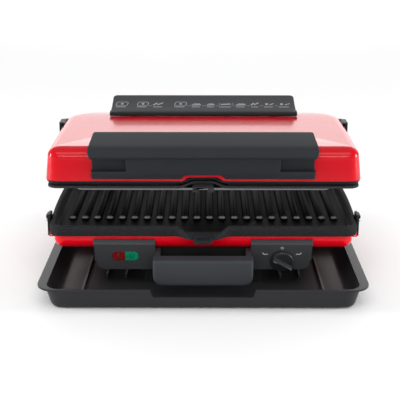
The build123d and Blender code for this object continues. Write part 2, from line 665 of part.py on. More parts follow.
def build():
    """Every node of the grill, by name."""
    nodes = {
        "base_shell": base_shell(),
        "base_cover": base_cover(),
        "rear_housing": rear_housing(),
        "front_feet": front_feet(),
        "rear_feet": rear_feet(),
        "cord_gland": cord_gland(),
        "terminal_block": terminal_block(),
        "lower_plate": lower_plate(),
        "lower_element": heating_element(57.4, -70, 110, 130),
        "lower_reflector": reflector(50.6, 146, -76, 118, 3.0),
        "indicator_panel": indicator_panel(),
        "control_panel": control_panel(),
        "red_lens": lens(-1),
        "green_lens": lens(1),
        "lamp_board": lamp_board(),
        "selector_switch": selector_switch(),
        "selector_shaft": selector_shaft(),
        "selector_knob": selector_knob(),
        "front_handle": front_handle(),
        "base_screws": base_screws(),
        "lid_shell": lid_shell(),
        "lid_frame": lid_frame(),
        "lid_handle": lid_handle(),
        "upper_plate": upper_plate(),
        "upper_element": heating_element(UPPER_RIM + 8.5, -66, 104, 128),
        "upper_reflector": reflector(UPPER_RIM + 16, 140, -74, 108, -3.0),
        "thermal_limiter": thermal_limiter(),
        "guide_panel": guide_panel(),
        "guide_brackets": guide_brackets(),
        "lid_screws": lid_screws(),
        "handle_screws": handle_screws(),
        "hinge_rod": hinge_rod(),
        "hinge_caps": hinge_caps(),
        "drip_tray": drip_tray(),
        "lower_latch_pins": latch_pins(LATCH_Y, LOWER_PIVOT),
        "upper_latch_pins": latch_pins(UPPER_LATCH_Y, UPPER_PIVOT),
    }
    for side, name in ((-1, "left"), (1, "right")):
        nodes[f"hinge_leg_{name}"] = hinge_leg(side)
        nodes[f"lower_latch_{name}"] = latch(side, LATCH_Y, LOWER_PIVOT, LOWER_TIP, (171.7, 68.0, 71.0))
        nodes[f"lower_rivet_{name}"] = latch_rivet(side)
        nodes[f"upper_latch_{name}"] = latch(
            side, UPPER_LATCH_Y, UPPER_PIVOT, UPPER_TIP, (172.0, UPPER_TIP, UPPER_RIM - 0.3)
        )
    return nodes


os.makedirs("parts", exist_ok=True)
for name, shape in build().items():
    export_step(shape, f"parts/{name}.step")
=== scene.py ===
"""A contact grill with a floating lid: its looks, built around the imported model.

Sizes are in millimetres on the grill: +X is right, -Y is the front and +Z is up, with the table at zero.
A finished mesh is turned into metres once, when its piece is made.
"""

import logging
import math
from dataclasses import dataclass
from enum import Enum
from typing import Iterable, Optional, Sequence, Union

import bmesh
import bpy
from mathutils import Matrix, Vector


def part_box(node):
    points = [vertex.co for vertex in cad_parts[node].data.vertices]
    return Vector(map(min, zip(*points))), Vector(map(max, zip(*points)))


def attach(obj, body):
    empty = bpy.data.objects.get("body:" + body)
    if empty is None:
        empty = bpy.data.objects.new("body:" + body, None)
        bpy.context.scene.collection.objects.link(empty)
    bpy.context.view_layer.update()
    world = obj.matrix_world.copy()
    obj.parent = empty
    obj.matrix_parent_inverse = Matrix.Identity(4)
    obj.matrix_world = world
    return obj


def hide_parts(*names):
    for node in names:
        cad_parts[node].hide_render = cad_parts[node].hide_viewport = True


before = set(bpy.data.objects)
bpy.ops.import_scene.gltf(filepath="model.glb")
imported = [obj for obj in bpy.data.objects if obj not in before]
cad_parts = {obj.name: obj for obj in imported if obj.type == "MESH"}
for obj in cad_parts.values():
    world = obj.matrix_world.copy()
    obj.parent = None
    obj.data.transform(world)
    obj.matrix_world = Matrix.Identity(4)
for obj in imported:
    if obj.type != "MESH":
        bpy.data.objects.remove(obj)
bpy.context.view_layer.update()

LOG = logging.getLogger("grill")
METRES = 0.001

Colour = tuple[float, float, float]
Point = tuple[float, float, float]
Flat = tuple[float, float]


class Body(Enum):
    """The moving bodies that a piece can ride on."""

    BASE = "base"
    SELECTOR = "selector"
    LID = "lid"
    TRAY = "tray"


class Slot(Enum):
    """The record's material slots."""

    RED = "red_gloss"
    BLACK = "black_plastic"
    GREY = "grey_plastic"
    COATING = "plate_coating"
    RED_WINDOW = "red_window"
    GREEN_WINDOW = "green_window"


# --- shader maths -------------------------------------------------------------------------
class Value:
    """A shader socket that takes part in Python arithmetic."""

    def __init__(self, shader: "Shader", socket: bpy.types.NodeSocket) -> None:
        """Wraps one output socket of a shader."""
        self.shader = shader
        self.socket = socket

    def __add__(self, other: "Number") -> "Value":
        """The sum of two values."""
        return self.shader.maths("ADD", self, other)

    def __radd__(self, other: "Number") -> "Value":
        """The sum with a number on the left."""
        return self.shader.maths("ADD", other, self)

    def __sub__(self, other: "Number") -> "Value":
        """The difference of two values."""
        return self.shader.maths("SUBTRACT", self, other)

    def __rsub__(self, other: "Number") -> "Value":
        """The difference with a number on the left."""
        return self.shader.maths("SUBTRACT", other, self)

    def __mul__(self, other: "Number") -> "Value":
        """The product of two values."""
        return self.shader.maths("MULTIPLY", self, other)

    def __rmul__(self, other: "Number") -> "Value":
        """The product with a number on the left."""
        return self.shader.maths("MULTIPLY", other, self)

    def between(self, low: float, high: float) -> "Value":
        """A clamped ramp: 0 at low and below, 1 at high and above.

        Args:
            low: The value that gives 0.
            high: The value that gives 1.

        Returns:
            The ramp's value.
        """
        node = self.shader.node(
            "ShaderNodeMapRange", {"clamp": True}, {"Value": self, "From Min": low, "From Max": high}
        )
        return Value(self.shader, node.outputs["Result"])


Number = Union[float, Value]


class Shader:
    """One material under construction: a principled surface and the nodes that feed it."""

    def __init__(self, name: str) -> None:
        """Starts a material.

        Args:
            name: The material's name.
        """
        self.material = bpy.data.materials.new(name)
        self.material.use_nodes = True
        self.tree = self.material.node_tree
        self.tree.nodes.clear()
        self.surface = self.node("ShaderNodeBsdfPrincipled")
        self.node("ShaderNodeOutputMaterial", {}, {"Surface": self.surface.outputs["BSDF"]})
        self.place = self.node("ShaderNodeTexCoord").outputs["Object"]

    def node(
        self, kind: str, settings: Optional[dict] = None, inputs: Optional[dict] = None
    ) -> bpy.types.Node:
        """Adds a node.

        Args:
            kind: The node's type.
            settings: Properties of the node, which are set first.
            inputs: Values or links for its input sockets, by name or number.

        Returns:
            The new node.
        """
        node = self.tree.nodes.new(kind)
        for name, setting in (settings or {}).items():
            setattr(node, name, setting)
        for name, value in (inputs or {}).items():
            self.feed(node, name, value)
        return node

    def feed(self, node: bpy.types.Node, name: Union[str, int], value: object) -> None:
        """Sets or links one input socket of a node.

        Args:
            node: The node to feed.
            name: The socket's name or number.
            value: A number, a tuple, a socket or a Value.
        """
        socket = node.inputs[name]
        if isinstance(value, Value):
            value = value.socket
        if isinstance(value, bpy.types.NodeSocket):
            self.tree.links.new(value, socket)
        elif isinstance(value, tuple) and socket.type == "RGBA" and len(value) == 3:
            socket.default_value = (*value, 1.0)
        else:
            socket.default_value = value

    def set(self, **sockets: object) -> None:
        """Sets or links sockets of the surface; an underscore in a name stands for a space."""
        for name, value in sockets.items():
            self.feed(self.surface, name.replace("_", " "), value)

    def maths(self, operation: str, first: Number, second: Number) -> Value:
        """Adds a Math node.

        Args:
            operation: The node's operation.
            first: Its first term.
            second: Its second term.

        Returns:
            The node's result.
        """
        node = self.node("ShaderNodeMath", {"operation": operation}, {0: first, 1: second})
        return Value(self, node.outputs[0])

    def noise(self, size: float, detail: float = 2.0, stretch: Point = (1.0, 1.0, 1.0)) -> Value:
        """Smooth noise over the piece.

        Args:
            size: The width of its patches, in millimetres.
            detail: How many finer layers it has.
            stretch: How far it is squeezed along each axis.

        Returns:
            The noise, from 0 to 1.
        """
        mapping = self.node("ShaderNodeMapping", {}, {"Vector": self.place, "Scale": stretch})
        inputs = {"Vector": mapping.outputs[0], "Scale": 1.0 / (size * METRES), "Detail": detail}
        return Value(self, self.node("ShaderNodeTexNoise", {}, inputs).outputs[0])

    def along(self, axis: str) -> Value:
        """The position along one axis of the model.

        Args:
            axis: The axis, as a capital letter.

        Returns:
            The position, in millimetres.
        """
        parts = self.node("ShaderNodeSeparateXYZ", {}, {"Vector": self.place})
        return Value(self, parts.outputs[axis]) * (1.0 / METRES)

    def cells(self, size: float) -> Value:
        """The distance to the nearest of many scattered points.

        Args:
            size: The points' spacing, in millimetres.

        Returns:
            The distance, as a share of the spacing.
        """
        inputs = {"Vector": self.place, "Scale": 1.0 / (size * METRES)}
        return Value(self, self.node("ShaderNodeTexVoronoi", {}, inputs).outputs["Distance"])

    def mix(self, factor: Number, first: Colour, second: Colour) -> bpy.types.NodeSocket:
        """Mixes two colours.

        Args:
            factor: 0 for the first colour and 1 for the second.
            first: The first colour.
            second: The second colour.

        Returns:
            The mixed colour's socket.
        """
        node = self.node("ShaderNodeMix", {"data_type": "RGBA"})
        self.feed(node, 0, factor)
        self.feed(node, 6, first)
        self.feed(node, 7, second)
        return node.outputs[2]

    def bump(self, height: Value, depth: float) -> None:
        """Raises the surface by a height pattern.

        Args:
            height: The pattern, from 0 to 1.
            depth: The height of its peaks, in millimetres.
        """
        inputs = {"Height": height, "Distance": depth * METRES, "Strength": 1.0}
        self.set(Normal=self.node("ShaderNodeBump", {}, inputs).outputs[0])


# --- finishes -----------------------------------------------------------------------------
@dataclass(frozen=True)
class Gloss:
    """A high-gloss coloured moulding under a clear coat, with a trace of orange peel."""

    name: str
    colour: Colour
    roughness: float = 0.14
    coat: float = 0.38

    def make(self) -> bpy.types.Material:
        """Builds the material."""
        shader = Shader(self.name)
        deep = tuple(channel * 0.86 for channel in self.colour)
        shader.set(Base_Color=shader.mix(shader.noise(45.0), self.colour, deep))
        smear = shader.noise(18.0, 4.0)
        shader.set(Roughness=self.roughness + smear * 0.06, Coat_Weight=self.coat, Coat_Roughness=0.06)
        shader.set(Specular_IOR_Level=0.12, Coat_IOR=1.35)
        shader.bump(shader.noise(3.5), 0.004)
        return shader.material


@dataclass(frozen=True)
class Moulding:
    """A matt or satin moulding with a fine spark-eroded grain."""

    name: str
    colour: Colour
    roughness: float = 0.5
    grain: float = 0.5
    depth: float = 0.02
    coat: float = 0.0
    shine: float = 0.12

    def make(self) -> bpy.types.Material:
        """Builds the material."""
        shader = Shader(self.name)
        light = tuple(channel * 1.25 for channel in self.colour)
        fine = shader.noise(self.grain, 3.0)
        shader.set(Base_Color=shader.mix(shader.noise(30.0, 3.0) * 0.5 + fine * 0.5, self.colour, light))
        shader.set(Roughness=self.roughness + fine * 0.14 - 0.07, Coat_Weight=self.coat, Coat_Roughness=0.25)
        shader.set(Specular_IOR_Level=self.shine)
        shader.bump(fine, self.depth)
        return shader.material


@dataclass(frozen=True)
class NonStick:
    """A dark fluoropolymer coating, sprayed on cast metal, with a pale fleck.

    The pan's floor and ridges are darkened below the given heights, and inside the pan's walls: painted
    shade, as they lie in shade under the lid.
    The ridges' crests are tinted paler within the given depths: a painted highlight, which stands in for the
    highlights on the ridges' front ends.
    """

    name: str
    colour: Colour
    fleck: Colour
    roughness: float = 0.42
    floor: float = 67.0
    # Painted shade: the heights below which the pan is darkened, and the dark colour.
    shade_heights: Flat = (0.0, 1.0)
    shade_colour: Colour = (0.0, 0.0, 0.0)
    # Painted highlight: the depths within which the ridges' crests are paler, and the pale colour.
    highlight_depths: Flat = (1.0, 0.0)
    highlight_colour: Colour = (0.0, 0.0, 0.0)
    pan_side: Flat = (165.0, 163.0)
    pan_rear: Flat = (126.0, 124.0)
    pan_front: Flat = (-92.0, -88.0)
    crest: Flat = (0.4, 1.4)

    def make(self) -> bpy.types.Material:
        """Builds the material."""
        shader = Shader(self.name)
        speck = 1.0 - shader.cells(1.6).between(0.08, 0.22)
        patch = shader.noise(2.2, 4.0).between(0.45, 0.75)
        colour = shader.mix(speck * 0.5 + patch * 0.3, self.colour, self.fleck)
        height = shader.along("Z")
        across, depth = shader.along("X"), shader.along("Y")
        outer, inner = self.pan_side
        inside = across.between(-outer, -inner) * across.between(outer, inner) * depth.between(*self.pan_rear)
        # Painted shade: the pan's floor and ridges, which lie under the lid, are darkened below the given
        # heights.
        shaded_pan = height.between(*self.shade_heights) * inside * depth.between(*self.pan_front)
        colour = shader.mix(shaded_pan, colour, self.shade_colour)
        crest = height.between(*(self.floor + rise for rise in self.crest))
        # Painted highlight: the ridges' crests are made paler near their front ends.
        highlight_mask = depth.between(*self.highlight_depths) * crest * shaded_pan
        shader.set(Base_Color=shader.mix(highlight_mask, colour, self.highlight_colour))
        cast = shader.noise(1.1, 4.0)
        shader.set(Roughness=self.roughness + cast * 0.16 - 0.08, Specular_IOR_Level=0.005)
        shader.bump(cast, 0.05)
        return shader.material


@dataclass(frozen=True)
class Metal:
    """Drawn or rolled metal with fine lines along one axis."""

    name: str
    colour: Colour
    lines: Point = (0.06, 1.0, 1.0)
    roughness: float = 0.3

    def make(self) -> bpy.types.Material:
        """Builds the material."""
        shader = Shader(self.name)
        line = shader.noise(0.5, 3.0, self.lines)
        dark = tuple(channel * 0.8 for channel in self.colour)
        shader.set(Base_Color=shader.mix(line, self.colour, dark), Metallic=1.0)
        shader.set(Roughness=self.roughness + line * 0.2 - 0.1)
        shader.bump(line, 0.01)
        return shader.material


@dataclass(frozen=True)
class Window:
    """A coloured clear lens with moulded ribs behind a polished face."""

    name: str
    colour: Colour
    glow: Colour

    def make(self) -> bpy.types.Material:
        """Builds the material."""
        shader = Shader(self.name)
        cloud = shader.noise(4.0, 1.0)
        shader.set(Base_Color=shader.mix(cloud.between(0.35, 0.7), self.colour, self.glow))
        shader.set(Roughness=0.1 + cloud * 0.06, Coat_Weight=0.6, Coat_Roughness=0.03)
        return shader.material


@dataclass(frozen=True)
class Ink:
    """Screen-printed ink, slightly uneven in its cover."""

    name: str
    colour: Colour

    def make(self) -> bpy.types.Material:
        """Builds the material."""
        shader = Shader(self.name)
        thin = tuple(channel * 0.8 for channel in self.colour)
        cover = shader.noise(0.8, 3.0)
        shader.set(Base_Color=shader.mix(cover, self.colour, thin), Roughness=0.45 + cover * 0.1)
        return shader.material


RED = Gloss("red_gloss_moulding", (0.57, 0.002, 0.01))
# Painted light: the base shell's red is set brighter than the lid's, to lift it in the shade under the lower
# plate's rim.
BASE_RED = Gloss("red_gloss_base", (0.76, 0.002, 0.012), 0.16)
HANDLE_GREY = Moulding("satin_grey_moulding", (0.023, 0.0255, 0.029), 0.6, 0.6, 0.012, shine=0.035)
KNOB_GREY = Moulding("knob_grey_moulding", (0.014, 0.015, 0.017), 0.36, 0.5, 0.006, shine=0.5)
# Painted highlight: the pale grey of the strips on the tray's ribs.
RIB_HIGHLIGHT = Moulding("rib_highlight_paint", (0.1, 0.1, 0.1), 0.5)
GRIP_GREY = Moulding("grip_grey_moulding", (0.034, 0.037, 0.042), 0.55, 0.6, 0.012)
PANEL_GREY = Moulding("panel_grey_moulding", (0.04, 0.041, 0.045), 0.5, 0.5, 0.01, shine=0.25)
BLACK = Moulding("black_moulding", (0.012, 0.012, 0.013), 0.46, 0.7, 0.015)
TRAY_BLACK = Moulding("tray_black_moulding", (0.024, 0.024, 0.026), 0.4, 0.8, 0.01)
RUBBER = Moulding("soft_rubber", (0.014, 0.014, 0.014), 0.8, 0.9, 0.03)
CERAMIC = Moulding("pale_insulator", (0.62, 0.58, 0.5), 0.55, 0.6, 0.02)
BOARD = Moulding("board_lacquer", (0.012, 0.11, 0.045), 0.35, 0.6, 0.02)
# Painted light: the upper plate's coating is set paler than the lower one's, to lift it in its own shade.
UPPER_COATING = NonStick("upper_plate_coating", (0.034, 0.034, 0.036), (0.08, 0.08, 0.084))
# The lower plate's face, with painted shade on the pan's floor and ridges and painted highlights on the
# ridges' front ends.
COOKING_FACE = NonStick(
    "lower_plate_painted_shade_and_highlight", (0.021, 0.021, 0.023), (0.06, 0.06, 0.064), shade_heights=(71.5, 70.6),
    shade_colour=(0.0012, 0.0012, 0.0014), highlight_depths=(-40.4, -42.6), highlight_colour=(0.19, 0.19, 0.195),
)
STEEL = Metal("drawn_steel", (0.56, 0.56, 0.57))
EDGE_METAL = Metal("machined_aluminium", (0.2, 0.2, 0.205), (0.06, 1.0, 1.0), 0.45)
ROD_STEEL = Metal("upright_steel", (0.5, 0.5, 0.52), (1.0, 1.0, 0.06))
RED_LENS = Window("red_lens_plastic", (0.13, 0.003, 0.003), (0.22, 0.012, 0.01))
RED_PRISM = Window("red_prism_plastic", (0.07, 0.002, 0.002), (0.2, 0.01, 0.01))
GREEN_PRISM = Window("green_prism_plastic", (0.0, 0.1, 0.05), (0.0, 0.24, 0.12))
GREEN_LENS = Window("green_lens_plastic", (0.0, 0.2, 0.095), (0.005, 0.3, 0.16))
INK = Ink("white_ink", (0.36, 0.37, 0.39))
SOFT_INK = Ink("grey_ink", (0.27, 0.275, 0.29))
DIAL_INK = Ink("dial_ink", (0.6, 0.6, 0.6))

Finish = Union[Gloss, Moulding, NonStick, Metal, Window, Ink]
_made: dict[str, bpy.types.Material] = {}


def material(finish: Finish) -> bpy.types.Material:
    """The material of a finish, built once.

    Args:
        finish: One of the finishes above.

    Returns:
        The material.
    """
    if finish.name not in _made:
        _made[finish.name] = finish.make()
    return _made[finish.name]


# --- forms --------------------------------------------------------------------------------
@dataclass(frozen=True)
class Plane:
    """A drawing plane: an origin and two directions, all in millimetres."""

    origin: Vector
    right: Vector
    up: Vector

    @property
    def out(self) -> Vector:
        """The direction that points away from the plane."""
        return self.right.cross(self.up)

    def at(self, u: float, v: float, out: float = 0.0) -> Vector:
        """A point on or above the plane.

        Args:
            u: The distance along the right direction.
            v: The distance along the up direction.
            out: The height above the plane.

        Returns:
            The point.
        """
        return self.origin + self.right * u + self.up * v + self.out * out

    def matrix(self, u: float = 0.0, v: float = 0.0, out: float = 0.0) -> Matrix:
        """The placing of a shape drawn about the origin, moved to a point of the plane."""
        axes = Matrix((self.right, self.up, self.out)).transposed().to_4x4()
        return Matrix.Translation(self.at(u, v, out)) @ axes


SIDE = Plane(Vector((0, 0, 0)), Vector((0, 1, 0)), Vector((0, 0, 1)))
FRONT = Plane(Vector((0, 0, 0)), Vector((1, 0, 0)), Vector((0, 0, 1)))
TOP = Plane(Vector((0, 0, 0)), Vector((1, 0, 0)), Vector((0, 1, 0)))


class Form:
    """A mesh under construction, shaped by bmesh operators, in millimetres."""

    def __init__(self) -> None:
        """Starts an empty mesh."""
        self.bm = bmesh.new()

    def outline(self, plane: Plane, points: Sequence[Flat], out: float = 0.0) -> bmesh.types.BMFace:
        """A flat face.

        Args:
            plane: The plane that it is drawn on.
            points: Its corners, as (right, up).
            out: Its height above the plane.

        Returns:
            The face.
        """
        return self.bm.faces.new([self.bm.verts.new(plane.at(u, v, out)) for u, v in points])

    def round_corners(
        self, face: bmesh.types.BMFace, radii: dict[int, float], segments: int = 6
    ) -> bmesh.types.BMFace:
        """Rounds corners of a flat face, each with its own radius.

        Args:
            face: The face.
            radii: The radius of each corner that is rounded, by its number.
            segments: The number of segments in each corner.

        Returns:
            The rounded face.
        """
        corners = [(face.verts[index], radius) for index, radius in radii.items()]
        for corner, radius in corners:
            made = bmesh.ops.bevel(
                self.bm, geom=[corner], offset=radius, offset_type="OFFSET", affect="VERTICES",
                segments=segments, profile=0.5, material=-1,
            )
            around = (f for vert in made["verts"] if vert.is_valid for f in vert.link_faces)
            face = max(around, key=lambda f: len(f.verts))
        return face

    def round_near(
        self, face: bmesh.types.BMFace, point: Vector, radius: float, segments: int
    ) -> bmesh.types.BMFace:
        """Rounds the corner of a flat face that is nearest to a point.

        Args:
            face: The face.
            point: The point.
            radius: The corner's radius.
            segments: The number of segments in it.

        Returns:
            The rounded face.
        """
        nearest = min(range(len(face.verts)), key=lambda i: (face.verts[i].co - point).length)
        return self.round_corners(face, {nearest: radius}, segments)

    def extrude(self, face: bmesh.types.BMFace, along: Vector) -> list[bmesh.types.BMVert]:
        """Pulls a flat face out into a closed prism.

        Args:
            face: The face.
            along: How far, and which way, it is pulled.

        Returns:
            All the prism's vertices.
        """
        start = list(face.verts)
        made = bmesh.ops.extrude_face_region(self.bm, geom=[face], use_keep_orig=True)["geom"]
        moved = [g for g in made if isinstance(g, bmesh.types.BMVert)]
        bmesh.ops.translate(self.bm, verts=moved, vec=along)
        return start + moved

    def prism(
        self,
        plane: Plane,
        points: Sequence[Flat],
        start: float,
        end: float,
        radii: Optional[dict[int, float]] = None,
    ) -> list[bmesh.types.BMVert]:
        """A prism between two heights above a plane.

        Args:
            plane: The plane that its outline is drawn on.
            points: The outline's corners.
            start: The height of its first end.
            end: The height of its other end.
            radii: The radius of each rounded corner, by its number.

        Returns:
            All its vertices.
        """
        face = self.outline(plane, points, start)
        if radii:
            face = self.round_corners(face, radii)
        return self.extrude(face, plane.out * (end - start))

    def block(self, low: Point, high: Point) -> list[bmesh.types.BMVert]:
        """A box between two opposite corners."""
        size = Vector(high) - Vector(low)
        middle = (Vector(high) + Vector(low)) / 2
        placing = Matrix.Translation(middle) @ Matrix.Diagonal((*size, 1.0))
        return bmesh.ops.create_cube(self.bm, size=1.0, matrix=placing)["verts"]

    def stroke(self, plane: Plane, start: Flat, end: Flat, width: float, thick: float) -> None:
        """A straight stroke of ink.

        Args:
            plane: The printed face.
            start: Where it starts.
            end: Where it ends.
            width: Its width.
            thick: Its thickness.
        """
        first, last = Vector(start), Vector(end)
        along = last - first
        across = Vector((-along.y, along.x)).normalized() * (width / 2)
        corners = (first - across, last - across, last + across, first + across)
        self.prism(plane, [tuple(corner) for corner in corners], 0.0, thick)

    def barrel(
        self, placing: Matrix, radius: float, length: float, segments: int = 32, top: float = -1.0
    ) -> list[bmesh.types.BMVert]:
        """A closed cylinder or cone about the placing's own z axis.

        Args:
            placing: Where its middle goes.
            radius: Its radius at the bottom.
            length: Its length.
            segments: The number of its sides.
            top: Its radius at the top, or a negative number for the same one.

        Returns:
            All its vertices.
        """
        return bmesh.ops.create_cone(
            self.bm, cap_ends=True, segments=segments, radius1=radius, radius2=radius if top < 0 else top,
            depth=length, matrix=placing,
        )["verts"]

    def ring(self, placing: Matrix, outer: float, inner: float, thick: float, segments: int = 32) -> None:
        """A flat washer about the placing's own z axis.

        Args:
            placing: Where its middle goes.
            outer: Its outer radius.
            inner: Its inner radius.
            thick: Its thickness.
            segments: The number of its sides.
        """
        middle = (outer + inner) / 2
        half = (outer - inner) / 2
        start = [
            self.bm.verts.new(placing @ Vector((middle + half * a, 0, thick * b / 2)))
            for a, b in ((-1, -1), (1, -1), (1, 1), (-1, 1))
        ]
        edges = [self.bm.edges.new((start[i], start[(i + 1) % 4])) for i in range(4)]
        axis = placing.to_3x3() @ Vector((0, 0, 1))
        bmesh.ops.spin(
            self.bm, geom=start + edges, cent=placing.to_translation(), axis=axis, angle=math.tau,
            steps=segments, use_merge=True,
        )

    def edges_of(
        self, verts: Iterable[bmesh.types.BMVert], sharper: float = 20.0
    ) -> list[bmesh.types.BMEdge]:
        """The edges among some vertices that turn by more than an angle.

        Args:
            verts: The vertices.
            sharper: The angle, in degrees.

        Returns:
            The edges.
        """
        chosen = set(verts)
        self.bm.normal_update()
        return [
            e
            for e in self.bm.edges
            if e.verts[0] in chosen
            and e.verts[1] in chosen
            and len(e.link_faces) == 2
            and e.calc_face_angle(0.0) > math.radians(sharper)
        ]

    def bevel(self, edges: Iterable[bmesh.types.BMEdge], width: float, segments: int = 3) -> None:
        """Rounds edges.

        Args:
            edges: The edges.
            width: The bevel's width.
            segments: The number of its segments.
        """
        bmesh.ops.bevel(
            self.bm, geom=list(edges), offset=width, offset_type="OFFSET", affect="EDGES", segments=segments,
            profile=0.5, material=-1, clamp_overlap=True,
        )

    def outward(self) -> None:
        """Merges doubles and turns every face outwards."""
        bmesh.ops.remove_doubles(self.bm, verts=self.bm.verts, dist=0.0005)
        bmesh.ops.recalc_face_normals(self.bm, faces=self.bm.faces)

    def piece(
        self,
        name: str,
        finish: Finish,
        body: Body,
        slot: Optional[Slot] = None,
        replaces: Sequence[str] = (),
        sharper: float = 32.0,
    ) -> bpy.types.Object:
        """Finishes the mesh and hangs it on its body.

        Args:
            name: The piece's name.
            finish: Its finish.
            body: The body that it rides on.
            slot: The record's material slot of the piece; not used.
            replaces: The CAD nodes that it stands for.
            sharper: Edges that turn by more than this many degrees stay sharp.

        Returns:
            The finished object.
        """
        self.outward()
        self.bm.normal_update()
        for face in self.bm.faces:
            face.smooth = True
        for edge in self.bm.edges:
            edge.smooth = len(edge.link_faces) == 2 and edge.calc_face_angle(0.0) < math.radians(sharper)
        bmesh.ops.scale(self.bm, vec=Vector((METRES,) * 3), verts=self.bm.verts)
        mesh = bpy.data.meshes.new(name)
        self.bm.to_mesh(mesh)
        self.bm.free()
        made = bpy.data.objects.new(name, mesh)
        bpy.context.scene.collection.objects.link(made)
        mesh.materials.append(material(finish))
        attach(made, body.value)
        if replaces:
            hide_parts(*replaces)
        LOG.info("%s: %d faces", name, len(mesh.polygons))
        return made


# --- shared outlines ----------------------------------------------------------------------
def ease(x: float, inner: float, outer: float) -> float:
    """1 within inner of the centre line, 0 beyond outer, and a smooth step between.

    Args:
        x: The sideways position.
        inner: Where the step starts.
        outer: Where the step ends.

    Returns:
        The step's value.
    """
    share = min(1.0, max(0.0, (outer - abs(x)) / (outer - inner)))
    return share * share * (3.0 - 2.0 * share)


@dataclass(frozen=True)
class Barrel:
    """A plan outline whose sides bow out between rounded front and rear corners."""

    front: float
    rear: float
    halves: Point
    corner: float
    least_corner: float = 3.0
    corner_cuts: int = 8
    side_cuts: int = 36
    front_cuts: int = 119

    def loop(
        self,
        form: Form,
        inset: float,
        z: float,
        rear: Optional[float] = None,
        rear_corner: Optional[float] = None,
    ) -> list[bmesh.types.BMEdge]:
        """Draws the outline as a closed loop of edges.

        Args:
            form: The mesh that it is drawn in.
            inset: How far it is brought in all round.
            z: Its height.
            rear: Where its rear edge is, if that isn't the outline's own less the inset.
            rear_corner: The radius of its rear corners, if that isn't the corner radius less the inset.

        Returns:
            The loop's edges.
        """
        front = self.front + inset
        rear = self.rear - inset if rear is None else rear
        corner = max(self.corner - inset, self.least_corner)
        rear_corner = corner if rear_corner is None else rear_corner
        front_half, middle_half, rear_half = (half - inset for half in self.halves)
        corners = [(-front_half, front), (front_half, front), (rear_half, rear), (-rear_half, rear)]
        face = form.outline(TOP, corners, z)
        for (u, v), radius in zip(corners, (corner, corner, rear_corner, rear_corner)):
            face = form.round_near(face, TOP.at(u, v, z), radius, self.corner_cuts)
        edges = list(face.edges)
        bmesh.ops.delete(form.bm, geom=[face], context="FACES_ONLY")
        sides = [e for e in edges if abs(e.verts[0].co.y - e.verts[1].co.y) > self.corner * 2]
        ends = [e for e in edges if abs(e.verts[0].co.x - e.verts[1].co.x) > self.corner * 2]
        loop = set(edges)
        for chosen, cuts in ((sides, self.side_cuts), (ends, self.front_cuts)):
            made = bmesh.ops.subdivide_edges(form.bm, edges=chosen, cuts=cuts)
            loop.update(item for item in made["geom"] if isinstance(item, bmesh.types.BMEdge))
        middle = (self.front + self.rear) / 2
        reach = (self.rear - self.front) / 2
        for vert in verts_of(loop):
            bow = max(0.0, 1.0 - ((vert.co.y - middle) / reach) ** 2)
            if abs(vert.co.x) > min(front_half, rear_half) - rear_corner:
                vert.co.x += math.copysign(bow * (middle_half - front_half), vert.co.x)
        return list(loop)

    def is_front(self, y: float, depth: float) -> bool:
        """Whether a point is within a depth of the front edge."""
        return y < self.front + depth


def skin(form: Form, loops: Sequence[list[bmesh.types.BMEdge]], closed: bool = False) -> None:
    """Joins loops of edges, one after another, with faces.

    Args:
        form: The mesh that holds them.
        loops: The loops, each with the same number of edges.
        closed: Whether the last loop is joined to the first.
    """
    pairs = list(zip(loops, loops[1:]))
    if closed:
        pairs.append((loops[-1], loops[0]))
    for first, second in pairs:
        bmesh.ops.bridge_loops(form.bm, edges=first + second)


def verts_of(edges: Iterable[bmesh.types.BMEdge]) -> set[bmesh.types.BMVert]:
    """The vertices of some edges."""
    return {vert for edge in edges for vert in edge.verts}


def rounded_bar(
    form: Form, x: float, front: float, rear: float, levels: Sequence[Flat], segments: int = 16
) -> None:
    """A long bar with round ends, built up in levels.

    Args:
        form: The mesh that it is added to.
        x: The bar's centre line.
        front: The centre of its front end.
        rear: The centre of its rear end.
        levels: The half width and height of each level, from its foot to its crest.
        segments: The number of sides of its two ends together.
    """
    loops = []
    for radius, z in levels:
        placing = Matrix.Translation((0, 0, z)) @ Matrix.Rotation(math.pi / segments, 4, "Z")
        made = bmesh.ops.create_circle(form.bm, segments=segments, radius=radius, matrix=placing)
        edges = list({edge for vert in made["verts"] for edge in vert.link_edges})
        for vert in made["verts"]:
            vert.co.y += rear if vert.co.y > 0 else front
            vert.co.x += x
        loops.append(edges)
    skin(form, loops)
    for loop in (loops[0], loops[-1]):
        bmesh.ops.contextual_create(form.bm, geom=loop)


